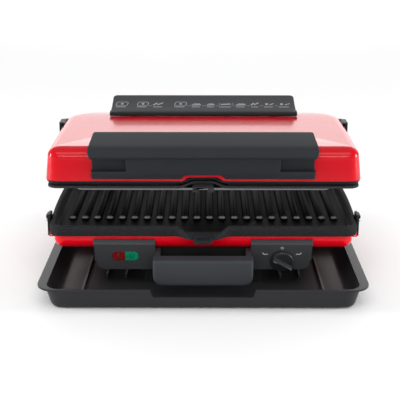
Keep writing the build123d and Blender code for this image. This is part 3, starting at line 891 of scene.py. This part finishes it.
# --- the lid ------------------------------------------------------------------------------
@dataclass
class LidCasing:
    """The red casing: barrel sides, a crowned top that rolls into the walls, and the latch ears."""

    edge: float = 128.3
    top: float = 166.0
    outline: Barrel = Barrel(-101.0, 133.6, (172.5, 174.0, 172.0), 15.0)
    draft: float = math.radians(6.0)
    roll_from: float = 153.0
    roll_depth: float = 13.0
    crown: float = 1.6
    crown_depth: float = 60.0
    flat_until: float = 80.0
    curve_from: float = 136.0
    rear_corner: float = 34.0
    wall: float = 2.3
    notch: Flat = (14.5, 23.5)
    notch_rise: float = 4.4
    wall_levels: int = 7
    roll_levels: int = 14
    crown_levels: int = 8
    rear_share: float = 0.35
    front_depth: float = 3.0
    ear_starts: Flat = (66.2, 91.3)
    ear_root: float = 168.0
    ear_thick: float = 2.5
    ear_half: float = 2.2
    ear_round: float = 2.0
    pivot: Flat = (174.0, 154.5)

    def rear_at(self, z: float) -> float:
        """Where the rear surface is at a height."""
        rise = max(0.0, (z - self.curve_from) / (self.top - self.curve_from))
        return self.flat_until + (self.outline.rear - self.flat_until) * math.sqrt(max(0.0, 1.0 - rise**2.2))

    def levels(self) -> list[Flat]:
        """The inset and height of every loop, from the lower edge to the top."""
        rise = self.roll_from - self.edge
        steps = [rise * k / self.wall_levels for k in range(self.wall_levels)]
        walls = [(step * math.tan(self.draft), self.edge + step) for step in steps]
        start = rise * math.tan(self.draft)
        roll_rise = self.top - self.crown - self.roll_from
        rolls = []
        for k in range(self.roll_levels):
            angle = k / self.roll_levels * math.pi / 2
            inset = start + self.roll_depth * (1.0 - math.cos(angle))
            rolls.append((inset, self.roll_from + roll_rise * math.sin(angle)))
        start += self.roll_depth
        crowns = []
        for k in range(self.crown_levels + 1):
            share = k / self.crown_levels
            height = self.top - self.crown * (1.0 - share) ** 2
            crowns.append((start + (self.crown_depth - start) * share, height))
        return walls + rolls + crowns

    def build(self) -> None:
        """Makes the casing and its ears."""
        form = Form()
        loops = []
        for inset, z in self.levels():
            share = (z - self.edge) / (self.top - self.edge)
            corner = self.outline.corner + (self.rear_corner - self.outline.corner) * share
            rear = self.rear_at(z) - inset * self.rear_share
            loop = self.outline.loop(form, inset, z, rear, corner)
            for vert in verts_of(loop):
                if self.outline.is_front(vert.co.y, inset + self.front_depth):
                    vert.co.z += ease(vert.co.x, *self.notch) * self.notch_rise * (1.0 - share)
            loops.append(loop)
        skin(form, loops)
        bmesh.ops.contextual_create(form.bm, geom=loops[-1])
        form.outward()
        bmesh.ops.solidify(form.bm, geom=list(form.bm.faces), thickness=self.wall)
        form.piece("lid_casing", RED, Body.LID, Slot.RED, ("lid_shell",), 40.0)
        ears = Form()
        self.ears(ears)
        ears.piece("lid_latch_ears", BLACK, Body.LID, Slot.BLACK)

    def ears(self, form: Form) -> None:
        """Adds the lugs that hold the latch pins."""
        pivot_x, pivot_z = self.pivot
        for side in (-1, 1):
            for start in self.ear_starts:
                plane = Plane(Vector((0, start, 0)), Vector((side, 0, 0)), Vector((0, 0, 1)))
                tip, low, high = pivot_x + self.ear_half, pivot_z - self.ear_half, pivot_z + self.ear_half
                points = [(self.ear_root, low), (tip, low), (tip, high), (self.ear_root, high)]
                form.prism(plane, points, 0.0, -self.ear_thick * side, {1: self.ear_round, 2: self.ear_round})


@dataclass
class LidTrim:
    """The black band below the casing, which rises over the spout."""

    outline: Barrel = Barrel(-101.0, 133.0, (172.5, 174.0, 172.0), 15.0)
    section: Sequence[Flat] = (
        (1.0, 128.2), (0.6, 127.4), (0.9, 126.0), (2.4, 125.0), (8.0, 124.8), (8.0, 128.2),
    )
    notch: Flat = (11.0, 24.0)
    notch_depth: float = 12.0
    rise: float = 4.2

    def build(self) -> None:
        """Makes the band."""
        form = Form()
        loops = [self.outline.loop(form, inset, z) for inset, z in self.section]
        for vert in form.bm.verts:
            if self.outline.is_front(vert.co.y, self.notch_depth):
                vert.co.z += self.rise * ease(vert.co.x, *self.notch)
        skin(form, loops, closed=True)
        form.piece("lid_trim_band", BLACK, Body.LID, Slot.BLACK)


@dataclass
class LidHandle:
    """The lid handle: a visor with rounded rear corners, a sloping fascia and two finger pockets."""

    half: float = 122.6
    round_from: float = -63.0
    round_to: float = -52.0
    round_in: float = 11.0
    visor: Sequence[Flat] = (
        (-52.0, 165.6), (-53.0, 170.6), (-56.0, 173.0), (-60.0, 173.8), (-65.0, 173.9), (-71.0, 173.6),
        (-80.0, 173.0), (-112.0, 171.3), (-119.5, 169.9), (-123.8, 168.0), (-124.8, 165.6), (-124.2, 160.4),
        (-121.0, 157.4), (-101.3, 157.0), (-101.3, 165.6),
    )
    fascia: Sequence[Flat] = (
        (-83.0, 157.6), (-83.0, 141.5), (-121.0, 141.5), (-121.0, 131.6), (-24.5, 131.6), (-19.0, 136.6),
        (19.0, 136.6), (24.5, 131.6), (121.0, 131.6), (121.0, 141.5), (83.0, 141.5), (83.0, 157.6),
    )
    back: float = -101.3
    foot: Flat = (-106.0, 131.6)
    head: Flat = (-118.6, 157.6)
    pocket_back: float = -103.6
    pocket: Flat = (82.0, 120.0)
    pocket_levels: Flat = (140.5, 157.6)
    tuck_below: float = 162.0
    tuck_height: float = 5.0
    tuck: float = 3.0

    def build(self) -> None:
        """Makes the handle."""
        form = Form()
        self.add_visor(form)
        self.add_fascia(form)
        for side in (-1, 1):
            left, right = sorted(side * end for end in self.pocket)
            low, high = self.pocket_levels
            form.block((left, self.pocket_back, low), (right, self.back, high))
        form.piece("lid_handle_moulding", HANDLE_GREY, Body.LID, Slot.GREY, ("lid_handle",))

    def add_visor(self, form: Form) -> None:
        """Adds the visor and rounds its ends."""
        verts = form.prism(SIDE, self.visor, -self.half, self.half)
        for vert in verts:
            share = max(0.0, (vert.co.y - self.round_from) / (self.round_to - self.round_from))
            inward = self.round_in * (1.0 - math.sqrt(max(0.0, 1.0 - share**2)))
            inward += self.tuck * max(0.0, (self.tuck_below - vert.co.z) / self.tuck_height)
            vert.co.x -= math.copysign(inward, vert.co.x)
        form.bevel(form.edges_of(verts, 50.0), 1.4, 3)

    def add_fascia(self, form: Form) -> None:
        """Adds the sloping fascia, with its notch over the spout and its finger pockets."""
        start = set(form.bm.verts)
        form.prism(FRONT, self.fascia, -self.back, -self.back + 1.0)
        made = [vert for vert in form.bm.verts if vert not in start]
        (foot_y, foot_z), (head_y, head_z) = self.foot, self.head
        for vert in made:
            if vert.co.y < self.back - 0.5:
                vert.co.y = foot_y + (head_y - foot_y) * (vert.co.z - foot_z) / (head_z - foot_z)
        front = [
            e for e in form.edges_of(made, 40.0) if all(vert.co.y < self.back - 2.0 for vert in e.verts)
        ]
        form.bevel(front, 2.0, 3)


@dataclass(frozen=True)
class Stroke:
    """One straight stroke of a pictogram.

    An end is a share of the pictogram's half width, a shift to the right of that, and a height.
    """

    start: Point
    end: Point
    width: float
    soft: bool = False


@dataclass(frozen=True)
class Dot:
    """A round spot in a pictogram, placed as a stroke's end is."""

    centre: Point
    radius: float
    sides: int


PICTOGRAMS: dict[str, Sequence[Union[Stroke, Dot]]] = {
    "frame": (
        Stroke((-1, 0, 0), (-1, 1.0, 6.4), 0.8), Stroke((1, 0, 0), (1, 1.0, 6.4), 0.8),
        Stroke((-1, 1.6, 7.2), (1, 0.4, 7.2), 0.8), Stroke((-1, 0.4, -0.6), (1, -0.6, -0.6), 0.6),
        Dot((0, 0.6, 3.4), 1.7, 12),
    ),
    "slice": (Stroke((-1, 0, 1.0), (0, -1.0, 5.4), 1.8), Stroke((0, -1.0, 1.4), (1, 0, 5.8), 1.6)),
    "tray": (
        Stroke((-1, 0, 0), (-1, 0.8, 5.4), 0.7, True), Stroke((1, 0, 0), (1, 0.8, 5.4), 0.7, True),
        Stroke((-1, 2.0, 2.2), (1, -2.0, 3.2), 2.0),
    ),
    "loaf": (Stroke((-1, 0, 1.0), (1, 0, 1.4), 1.8), Stroke((-0.6, 0, 3.6), (0.8, 0, 3.6), 1.5, True)),
    "pair": (Dot((-0.45, 0, 3.0), 1.9, 14), Stroke((0, 0.8, 1.4), (1, 0, 4.2), 1.4)),
}


@dataclass
class GuideSheet:
    """The sloping guide panel behind the lid handle: a plate with rounded corners and printed pictograms."""

    foot: Flat = (66.0, 171.0)
    head: Flat = (100.0, 185.4)
    halves: Flat = (114.3, 113.0)
    thick: float = 3.0
    corner: float = 4.5
    lift: float = 0.06
    hollow: float = 1.6
    bends: int = 14
    icons: Sequence[tuple[float, float, str]] = (
        (-102.0, 14.0, "frame"), (-76.0, 13.0, "frame"), (-56.5, 12.0, "slice"), (-29.0, 14.0, "frame"),
        (-9.0, 11.5, "loaf"), (9.0, 9.5, "loaf"), (27.5, 16.0, "tray"), (46.5, 12.0, "loaf"),
        (64.0, 9.5, "slice"), (81.5, 12.0, "pair"), (100.5, 14.0, "pair"),
    )
    icon_level: float = 16.4
    legend_level: float = 13.0
    legend_width: float = 1.7
    legend_end: float = 0.8
    rule_level: float = 15.6
    rule_width: float = 0.7
    rule_gaps: Flat = (1.2, 1.0)
    lip_half: float = 115.2
    lip: Sequence[Flat] = (
        (60.8, 166.6), (60.6, 169.6), (62.0, 171.2), (66.6, 172.0), (70.0, 172.6), (70.0, 166.6),
    )

    @property
    def length(self) -> float:
        """The panel's length up the slope."""
        return (Vector(self.head) - Vector(self.foot)).length

    @property
    def plane(self) -> Plane:
        """The panel's upper face."""
        up = Vector((0, self.head[0] - self.foot[0], self.head[1] - self.foot[1])).normalized()
        return Plane(Vector((0, *self.foot)), Vector((1, 0, 0)), up)

    def build(self) -> None:
        """Makes the panel and its print."""
        form = Form()
        low, high = self.halves
        points = [(-low, 0), (low, 0), (high, self.length), (-high, self.length)]
        face = form.outline(self.plane, points, -self.thick)
        for index in (2, 3):
            face = form.round_near(face, self.plane.at(*points[index], -self.thick), self.corner, 6)
        form.extrude(face, self.plane.out * self.thick)
        for step in range(1, self.bends):
            bmesh.ops.bisect_plane(
                form.bm, geom=list(form.bm.verts) + list(form.bm.edges) + list(form.bm.faces),
                plane_co=self.plane.at(0, self.length * step / self.bends), plane_no=self.plane.up,
                dist=0.001,
            )
        self.sag(form)
        form.piece("guide_sheet", PANEL_GREY, Body.LID, Slot.GREY, ("guide_panel",))
        lip = Form()
        verts = lip.prism(SIDE, self.lip, -self.lip_half, self.lip_half)
        lip.bevel(lip.edges_of(verts, 30.0), 0.8, 3)
        lip.piece("guide_lip", BLACK, Body.LID, Slot.BLACK)
        self.print_icons()

    def sag(self, form: Form) -> None:
        """Hollows the panel slightly between its foot and its head, print and all."""
        for vert in form.bm.verts:
            share = (vert.co - self.plane.origin).dot(self.plane.up) / self.length
            vert.co -= self.plane.out * (4.0 * self.hollow * share * (1.0 - share))

    def print_icons(self) -> None:
        """Prints the pictograms, the rule between them and a plain bar below each."""
        bright, soft = Form(), Form()
        for u, width, kind in self.icons:
            half = width / 2
            for mark in PICTOGRAMS[kind]:
                if isinstance(mark, Dot):
                    centre = self.spot(u, half, mark.centre)
                    bright.barrel(
                        self.plane.matrix(*centre, self.lift / 2), mark.radius, self.lift, mark.sides
                    )
                else:
                    ends = self.spot(u, half, mark.start), self.spot(u, half, mark.end)
                    (soft if mark.soft else bright).stroke(self.plane, *ends, mark.width, self.lift)
            self.rule(soft, u - half, u + half * self.legend_end, self.legend_level, self.legend_width)
        before, after = self.rule_gaps
        for left, right in zip(self.icons[1:], self.icons[2:]):
            if left[2] != "slice" or right[2] != "frame":
                start, end = left[0] + left[1] / 2 + before, right[0] - right[1] / 2 - after
                self.rule(soft, start, end, self.rule_level, self.rule_width)
        self.sag(bright)
        self.sag(soft)
        bright.piece("guide_pictograms", INK, Body.LID)
        soft.piece("guide_legend_bars", SOFT_INK, Body.LID)

    def spot(self, u: float, half: float, place: Point) -> Flat:
        """Where a pictogram's point is on the panel.

        Args:
            u: The pictogram's centre.
            half: Half its width.
            place: A share of that half, a shift to the right and a height.

        Returns:
            The point, as (right, up).
        """
        share, shift, height = place
        return u + half * share + shift, self.icon_level + height

    def rule(self, form: Form, start: float, end: float, level: float, width: float) -> None:
        """Draws one level stroke."""
        form.stroke(self.plane, (start, level), (end, level), width, self.lift)


# --- the plates ---------------------------------------------------------------------------
@dataclass
class LowerPlate:
    """The lower casting: a rimmed pan with round ridges, and a front rim that flows into a spout."""

    outline: Barrel = Barrel(-96.5, 130.0, (170.5, 174.5, 172.5), 11.0)
    floor: float = 67.0
    section: Sequence[Flat] = (
        (1.6, 63.2), (0.5, 63.6), (0.0, 64.8), (0.0, 73.2), (0.3, 74.3), (1.2, 75.0), (4.2, 75.0),
        (5.2, 74.6), (5.9, 73.6), (7.6, 68.8), (8.6, 67.5), (10.4, 67.0),
    )
    spout: Flat = (11.5, 31.0)
    spout_depth: float = 11.0
    reach: float = 13.0
    tongue_half: float = 10.3
    tongue: Flat = (-116.0, -104.0)
    ridge_pitch: float = 14.4
    ridge_count: int = 22
    ridge_ends: Flat = (-39.4, 117.0)
    ridge_levels: Sequence[Flat] = ((4.7, 66.8), (4.4, 68.2), (3.7, 69.4), (2.6, 70.1), (1.2, 70.4))
    notches: Sequence[tuple[float, float, float]] = ((-60.0, 6.5, 171.3), (80.0, 8.0, 171.0))

    def build(self) -> None:
        """Makes the plate."""
        form = Form()
        loops = [self.outline.loop(form, inset, z) for inset, z in self.section]
        for vert in form.bm.verts:
            self.shape(vert)
        skin(form, loops)
        for loop in (loops[0], loops[-1]):
            bmesh.ops.contextual_create(form.bm, geom=loop)
        form.outward()
        self.add_tongue(form)
        first = -self.ridge_pitch * (self.ridge_count - 1) / 2
        for number in range(self.ridge_count):
            rounded_bar(form, first + number * self.ridge_pitch, *self.ridge_ends, self.ridge_levels)
        form.piece("lower_plate_casting", COOKING_FACE, Body.BASE, Slot.COATING, ("lower_plate",), 38.0)

    def shape(self, vert: bmesh.types.BMVert) -> None:
        """Draws a rim point forward and down where the spout is, and in at the latch notches."""
        x, y, z = vert.co
        if self.outline.is_front(y, self.spout_depth):
            flow = ease(x, *self.spout)
            vert.co.y -= self.reach * flow
            if z > self.floor:
                vert.co.z = self.floor + (z - self.floor) * (1.0 - flow)
        for middle, reach, limit in self.notches:
            if abs(y - middle) < reach and abs(x) > limit:
                vert.co.x = math.copysign(limit, x)

    def add_tongue(self, form: Form) -> None:
        """Adds the short lip that the fat drips from."""
        half = self.tongue_half
        points = [
            (-half, 67.2), (-half, 62.4), (-half + 2.4, 60.5), (half - 2.4, 60.5), (half, 62.4), (half, 67.2),
            (half - 2.6, 67.2), (half - 3.4, 65.6), (-half + 3.4, 65.6), (-half + 2.6, 67.2),
        ]
        verts = form.prism(FRONT, points, -self.tongue[1], -self.tongue[0])
        front = [e for e in form.edges_of(verts, 40.0) if all(v.co.y < self.tongue[0] + 0.5 for v in e.verts)]
        form.bevel(front, 0.8, 3)


@dataclass
class UpperPlate:
    """The upper casting: a flange that arches over the spout, a pan below it, ridges and a drain channel."""

    outline: Barrel = Barrel(-96.5, 130.0, (170.5, 174.5, 172.5), 11.0)
    flange: Sequence[Flat] = (
        (6.0, 121.6), (1.0, 121.6), (0.3, 121.2), (0.0, 120.4), (0.0, 119.6), (0.4, 118.9), (1.2, 118.6),
        (7.5, 118.6),
    )
    pan: Barrel = Barrel(-88.6, 118.0, (140.0, 140.0, 140.0), 10.0)
    pan_levels: Sequence[Flat] = ((0.0, 118.6), (0.4, 116.4), (1.0, 115.5), (2.4, 115.2))
    arch: Flat = (9.5, 26.0)
    arch_depth: float = 9.0
    rise: float = 5.6
    notch_at: float = -60.0
    notch_reach: float = 10.0
    notch_limit: float = 169.6
    ridge_pitch: float = 14.4
    ridges_each_side: int = 9
    ridge_ends: Flat = (-74.0, 109.0)
    ridge_levels: Sequence[Flat] = ((4.2, 115.6), (3.6, 114.9), (2.4, 114.5), (1.0, 114.4))
    channel: Sequence[Flat] = (
        (-11.6, 118.4), (-11.6, 121.6), (-8.6, 124.6), (8.6, 124.6), (11.6, 121.6), (11.6, 118.4),
        (5.2, 118.4), (5.2, 122.8), (-5.2, 122.8), (-5.2, 118.4),
    )
    channel_ends: Flat = (88.0, 111.0)
    edge_levels: Sequence[Flat] = ((-0.35, 117.4), (-0.35, 115.2), (1.2, 115.0), (1.2, 117.4))

    def build(self) -> None:
        """Makes the plate, its bare machined edge and its spout."""
        form = Form()
        loops = [self.outline.loop(form, inset, z) for inset, z in self.flange]
        for vert in form.bm.verts:
            if self.outline.is_front(vert.co.y, self.arch_depth):
                vert.co.z += self.rise * ease(vert.co.x, *self.arch)
            if abs(vert.co.y - self.notch_at) < self.notch_reach and abs(vert.co.x) > self.notch_limit:
                vert.co.x = math.copysign(self.notch_limit, vert.co.x)
        loops += [self.pan.loop(form, inset, z) for inset, z in self.pan_levels]
        skin(form, loops)
        for loop in (loops[0], loops[-1]):
            bmesh.ops.contextual_create(form.bm, geom=loop)
        form.outward()
        for number in range(-self.ridges_each_side, self.ridges_each_side + 1):
            if number:
                rounded_bar(form, number * self.ridge_pitch, *self.ridge_ends, self.ridge_levels)
        self.add_spout(form)
        form.piece("upper_plate_casting", UPPER_COATING, Body.LID, Slot.COATING, ("upper_plate",), 38.0)
        self.add_edge()

    def add_spout(self, form: Form) -> None:
        """Adds the drain channel, open below, in front of the pan."""
        verts = form.prism(FRONT, self.channel, *self.channel_ends)
        nose = 1.0 - self.channel_ends[1]
        front = [e for e in form.edges_of(verts, 40.0) if all(v.co.y < nose for v in e.verts)]
        form.bevel(front, 0.9, 3)

    def add_edge(self) -> None:
        """Adds the pan's bare machined edge, a thin band."""
        form = Form()
        skin(form, [self.pan.loop(form, inset, z) for inset, z in self.edge_levels], closed=True)
        form.piece("upper_plate_machined_edge", EDGE_METAL, Body.LID)


# --- the control panel --------------------------------------------------------------------
PANEL_TILT = math.atan2(9.5, 33.0)


@dataclass
class DialMarks:
    """The white marks round the selector knob: a ring at the top and a plate symbol on each side."""

    x: float = 87.5
    z: float = 37.0
    top_y: float = -103.0
    top_z: float = 57.0
    lift: float = 0.06
    ring_at: float = 15.6
    ring: Flat = (1.6, 1.1)
    reach: float = 17.8
    symbol: Sequence[Flat] = ((-2.2, 7.2), (2.2, 7.2), (3.8, 9.4))
    width: float = 1.0

    @property
    def plane(self) -> Plane:
        """The control panel's face, about the knob's centre."""
        up = Vector((0, -math.sin(PANEL_TILT), math.cos(PANEL_TILT)))
        y = self.top_y + (self.top_z - self.z) * math.tan(PANEL_TILT)
        return Plane(Vector((self.x, y, self.z)), Vector((1, 0, 0)), up)

    def build(self) -> None:
        """Makes the marks."""
        form = Form()
        form.ring(self.plane.matrix(0.0, self.ring_at, self.lift / 2), *self.ring, self.lift, 24)
        for side in (-1, 1):
            points = [(side * (self.reach + u), v) for u, v in self.symbol]
            for start, end in zip(points, points[1:]):
                form.stroke(self.plane, start, end, self.width, self.lift)
        form.piece("dial_marks", DIAL_INK, Body.BASE)


@dataclass
class GripBar:
    """The lower carrying handle: a soft-edged bar with rounded lower corners, held out by two arms."""

    half: float = 54.5
    low: float = 18.4
    high: float = 48.6
    back: float = 118.0
    front: float = 134.0
    corner: float = 11.0
    arm: Flat = (47.5, 53.1)
    arm_section: Sequence[Flat] = (
        (-119.0, 48.0), (-119.0, 36.0), (-82.1, 30.0), (-82.1, 47.5), (-104.0, 47.5),
    )

    def build(self) -> None:
        """Makes the handle."""
        form = Form()
        half, low, high = self.half, self.low, self.high
        points = [(-half, high), (-half, low), (half, low), (half, high)]
        verts = form.prism(FRONT, points, self.back, self.front, {1: self.corner, 2: self.corner})
        soft = [e for e in form.edges_of(verts, 40.0) if all(v.co.y < -self.front + 0.5 for v in e.verts)]
        form.bevel(soft, 4.0, 5)
        for side in (-1, 1):
            start, end = sorted((side * self.arm[0], side * self.arm[1]))
            form.prism(SIDE, self.arm_section, start, end)
        form.piece("grip_bar", GRIP_GREY, Body.BASE, Slot.GREY, ("front_handle",), 40.0)


@dataclass
class RibHighlights:
    """Thin pale strips on the tray's ribs: painted highlights along their tops."""

    ribs: Sequence[Point] = ((134.0, -140.0, -1.0), (111.0, -64.0, 28.0), (89.0, -64.0, 28.0))
    half: float = 1.15
    levels: Flat = (6.4, 6.75)

    def build(self) -> None:
        """Makes a painted highlight strip on each rib, on both sides."""
        form = Form()
        low, high = self.levels
        for side in (-1, 1):
            for x, front, rear in self.ribs:
                form.block((side * x - self.half, front, low), (side * x + self.half, rear, high))
        form.piece("tray_rib_painted_highlights", RIB_HIGHLIGHT, Body.TRAY)


@dataclass
class Knob:
    """The selector knob: a bevelled disc with a narrow wedge-shaped grip and a pointer mark."""

    marks: DialMarks
    rest: float = math.radians(58.0)
    radius: float = 13.0
    taper: float = 0.6
    disc: float = 5.0
    gap: float = 0.7
    grip: Point = (3.6, 13.0, 12.6)
    crest: Flat = (0.42, 0.94)
    tail: float = 0.45
    bevel: float = 0.8
    pointer: tuple[Point, Point] = ((-0.35, 7.5, 12.55), (0.35, 11.6, 12.75))

    def build(self) -> None:
        """Makes the knob, drawn about its own axis and then turned into place."""
        placing = self.marks.plane.matrix() @ Matrix.Rotation(self.rest, 4, "Z")
        form = Form()
        half, reach, top = self.grip
        wedge = form.block((-half, -reach, self.disc), (half, reach, top))
        for vert in wedge:
            if vert.co.z > self.disc + 1:
                vert.co.x *= self.crest[0]
                vert.co.y *= self.crest[1]
            if vert.co.y < 0:
                vert.co.x *= self.tail
        form.bevel(form.edges_of(wedge, 30.0), self.bevel, 3)
        bmesh.ops.transform(form.bm, matrix=placing, verts=form.bm.verts)
        base = placing @ Matrix.Translation((0, 0, self.gap + self.disc / 2))
        disc = form.barrel(base, self.radius, self.disc, 48, self.radius - self.taper)
        form.bevel(form.edges_of(disc, 50.0), self.bevel, 3)
        form.piece("knob_moulding", KNOB_GREY, Body.SELECTOR, Slot.BLACK, ("selector_knob",))
        mark = Form()
        bmesh.ops.transform(mark.bm, matrix=placing, verts=mark.block(*self.pointer))
        mark.piece("knob_pointer", SOFT_INK, Body.SELECTOR)


@dataclass
class LampRings:
    """The round prisms moulded into the two lamp windows."""

    x: float = -86.6
    z: float = 41.5
    apart: float = 7.6
    window: float = 11.5
    ring: Flat = (3.0, 2.2)
    boss: float = 1.0
    thick: float = 0.5
    proud: float = 0.1

    def build(self) -> None:
        """Makes one ring and one boss in each window."""
        up = Vector((0, -math.sin(PANEL_TILT), math.cos(PANEL_TILT)))
        for side, finish, colour, slot in (
            (-1, RED_PRISM, "red", Slot.RED_WINDOW), (1, GREEN_PRISM, "green", Slot.GREEN_WINDOW),
        ):
            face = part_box(f"{colour}_lens")[0].y / METRES
            y = face + (up.z * self.window / 2) * math.tan(PANEL_TILT)
            plane = Plane(Vector((self.x + side * self.apart, y, self.z)), Vector((1, 0, 0)), up)
            form = Form()
            form.ring(plane.matrix(out=self.proud), *self.ring, self.thick, 28)
            form.barrel(plane.matrix(out=self.proud), self.boss, self.thick, 20)
            form.piece(f"{colour}_lamp_prism", finish, Body.BASE, slot)


# --- carried-over nodes -------------------------------------------------------------------
NODE_FINISHES: Sequence[tuple[Finish, Sequence[str]]] = (
    (BASE_RED, ("base_shell",)),
    (BLACK, (
        "base_cover", "rear_housing", "lid_frame", "guide_brackets", "lower_latch_left",
        "lower_latch_right", "upper_latch_left", "upper_latch_right",
    )),
    (RUBBER, ("front_feet", "rear_feet", "cord_gland", "hinge_caps")),
    (CERAMIC, ("terminal_block", "selector_switch", "thermal_limiter")),
    (STEEL, (
        "lower_element", "lower_reflector", "selector_shaft", "base_screws", "upper_element",
        "upper_reflector", "lid_screws", "handle_screws", "hinge_rod", "lower_latch_pins",
        "upper_latch_pins", "lower_rivet_left", "lower_rivet_right",
    )),
    (PANEL_GREY, ("indicator_panel", "control_panel")),
    (RED_LENS, ("red_lens",)),
    (GREEN_LENS, ("green_lens",)),
    (BOARD, ("lamp_board",)),
    (TRAY_BLACK, ("drip_tray",)),
    (ROD_STEEL, ("hinge_leg_left", "hinge_leg_right")),
)


def dress_nodes() -> None:
    """Gives each carried-over CAD node its finish."""
    for finish, names in NODE_FINISHES:
        for name in names:
            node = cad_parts[name]
            node.data.materials.clear()
            node.data.materials.append(material(finish))


# --- the studio ---------------------------------------------------------------------------
@dataclass
class Studio:
    """A pale floor, soft lights and the camera, in metres."""

    lens: float = 90.54
    camera_at: Point = (0.0015, -1.1537, 0.419)
    pitch: float = math.radians(73.5)
    turn: float = math.radians(0.27)
    floor_size: float = 16.0
    surround: float = 0.385
    lights: Sequence[tuple[str, Point, Point, Flat, float]] = (
        ("overhead", (0.0, 0.6, 2.4), (0.0, 0.6, 0.0), (3.0, 3.6), 12.0),
        ("backdrop", (0.0, 4.2, 1.6), (0.0, 0.0, 0.3), (6.0, 3.2), 72.0),
        ("key", (0.0, -1.7, 2.0), (0.0, 0.0, 0.1), (2.4, 1.0), 24.0),
        ("fill", (0.0, -2.4, 0.75), (0.0, 0.0, 0.1), (1.6, 0.5), 17.0),
        ("far_floor", (0.0, 5.6, 2.0), (0.0, 5.6, 0.0), (9.0, 3.0), 160.0),
        ("left", (-2.0, -0.1, 0.35), (0.0, 0.0, 0.1), (0.4, 0.6), 30.0),
        ("right", (2.0, -0.1, 0.35), (0.0, 0.0, 0.1), (0.4, 0.6), 30.0),
    )

    def build(self) -> None:
        """Makes the floor, the lights, the world and the camera."""
        self.floor()
        for light in self.lights:
            self.light(*light)
        self.world()
        self.camera()

    def floor(self) -> None:
        """Makes the floor."""
        form = bmesh.new()
        bmesh.ops.create_grid(form, x_segments=1, y_segments=1, size=self.floor_size / 2)
        mesh = bpy.data.meshes.new("floor")
        form.to_mesh(mesh)
        form.free()
        floor = bpy.data.objects.new("floor", mesh)
        bpy.context.scene.collection.objects.link(floor)
        shader = Shader("pale_floor")
        shader.set(Base_Color=(0.93, 0.93, 0.93), Roughness=0.9)
        mesh.materials.append(shader.material)

    def light(self, name: str, place: Point, target: Point, size: Flat, power: float) -> None:
        """Makes one soft light.

        Args:
            name: Its name.
            place: Where it stands.
            target: What it points at.
            size: Its width and height.
            power: Its power, in watts.
        """
        data = bpy.data.lights.new(name, "AREA")
        data.shape = "RECTANGLE"
        data.size, data.size_y = size
        data.energy = power
        lamp = bpy.data.objects.new(name, data)
        lamp.location = place
        lamp.rotation_euler = (Vector(target) - Vector(place)).to_track_quat("-Z", "Y").to_euler()
        lamp.visible_camera = False
        bpy.context.scene.collection.objects.link(lamp)

    def world(self) -> None:
        """Sets an even, pale surrounding light."""
        world = bpy.data.worlds.new("surroundings")
        world.use_nodes = True
        background = world.node_tree.nodes["Background"]
        background.inputs["Color"].default_value = (1.0, 1.0, 1.0, 1.0)
        background.inputs["Strength"].default_value = self.surround
        bpy.context.scene.world = world
        bpy.context.scene.view_settings.view_transform = "Standard"

    def camera(self) -> None:
        """Makes the camera."""
        data = bpy.data.cameras.new("camera")
        data.lens = self.lens
        camera = bpy.data.objects.new("camera", data)
        camera.location = self.camera_at
        camera.rotation_euler = (self.pitch, 0.0, self.turn)
        bpy.context.scene.collection.objects.link(camera)
        bpy.context.scene.camera = camera


def main() -> None:
    """Builds every sub-assembly in order."""
    logging.basicConfig(level=logging.INFO, format="%(message)s")
    Studio().build()
    dress_nodes()
    marks = DialMarks()
    for part in (
        LidCasing(), LidTrim(), LidHandle(), GuideSheet(), LowerPlate(), UpperPlate(),
        marks, Knob(marks), LampRings(), GripBar(), RibHighlights(),
    ):
        part.build()


if __name__ == "__main__":
    main()
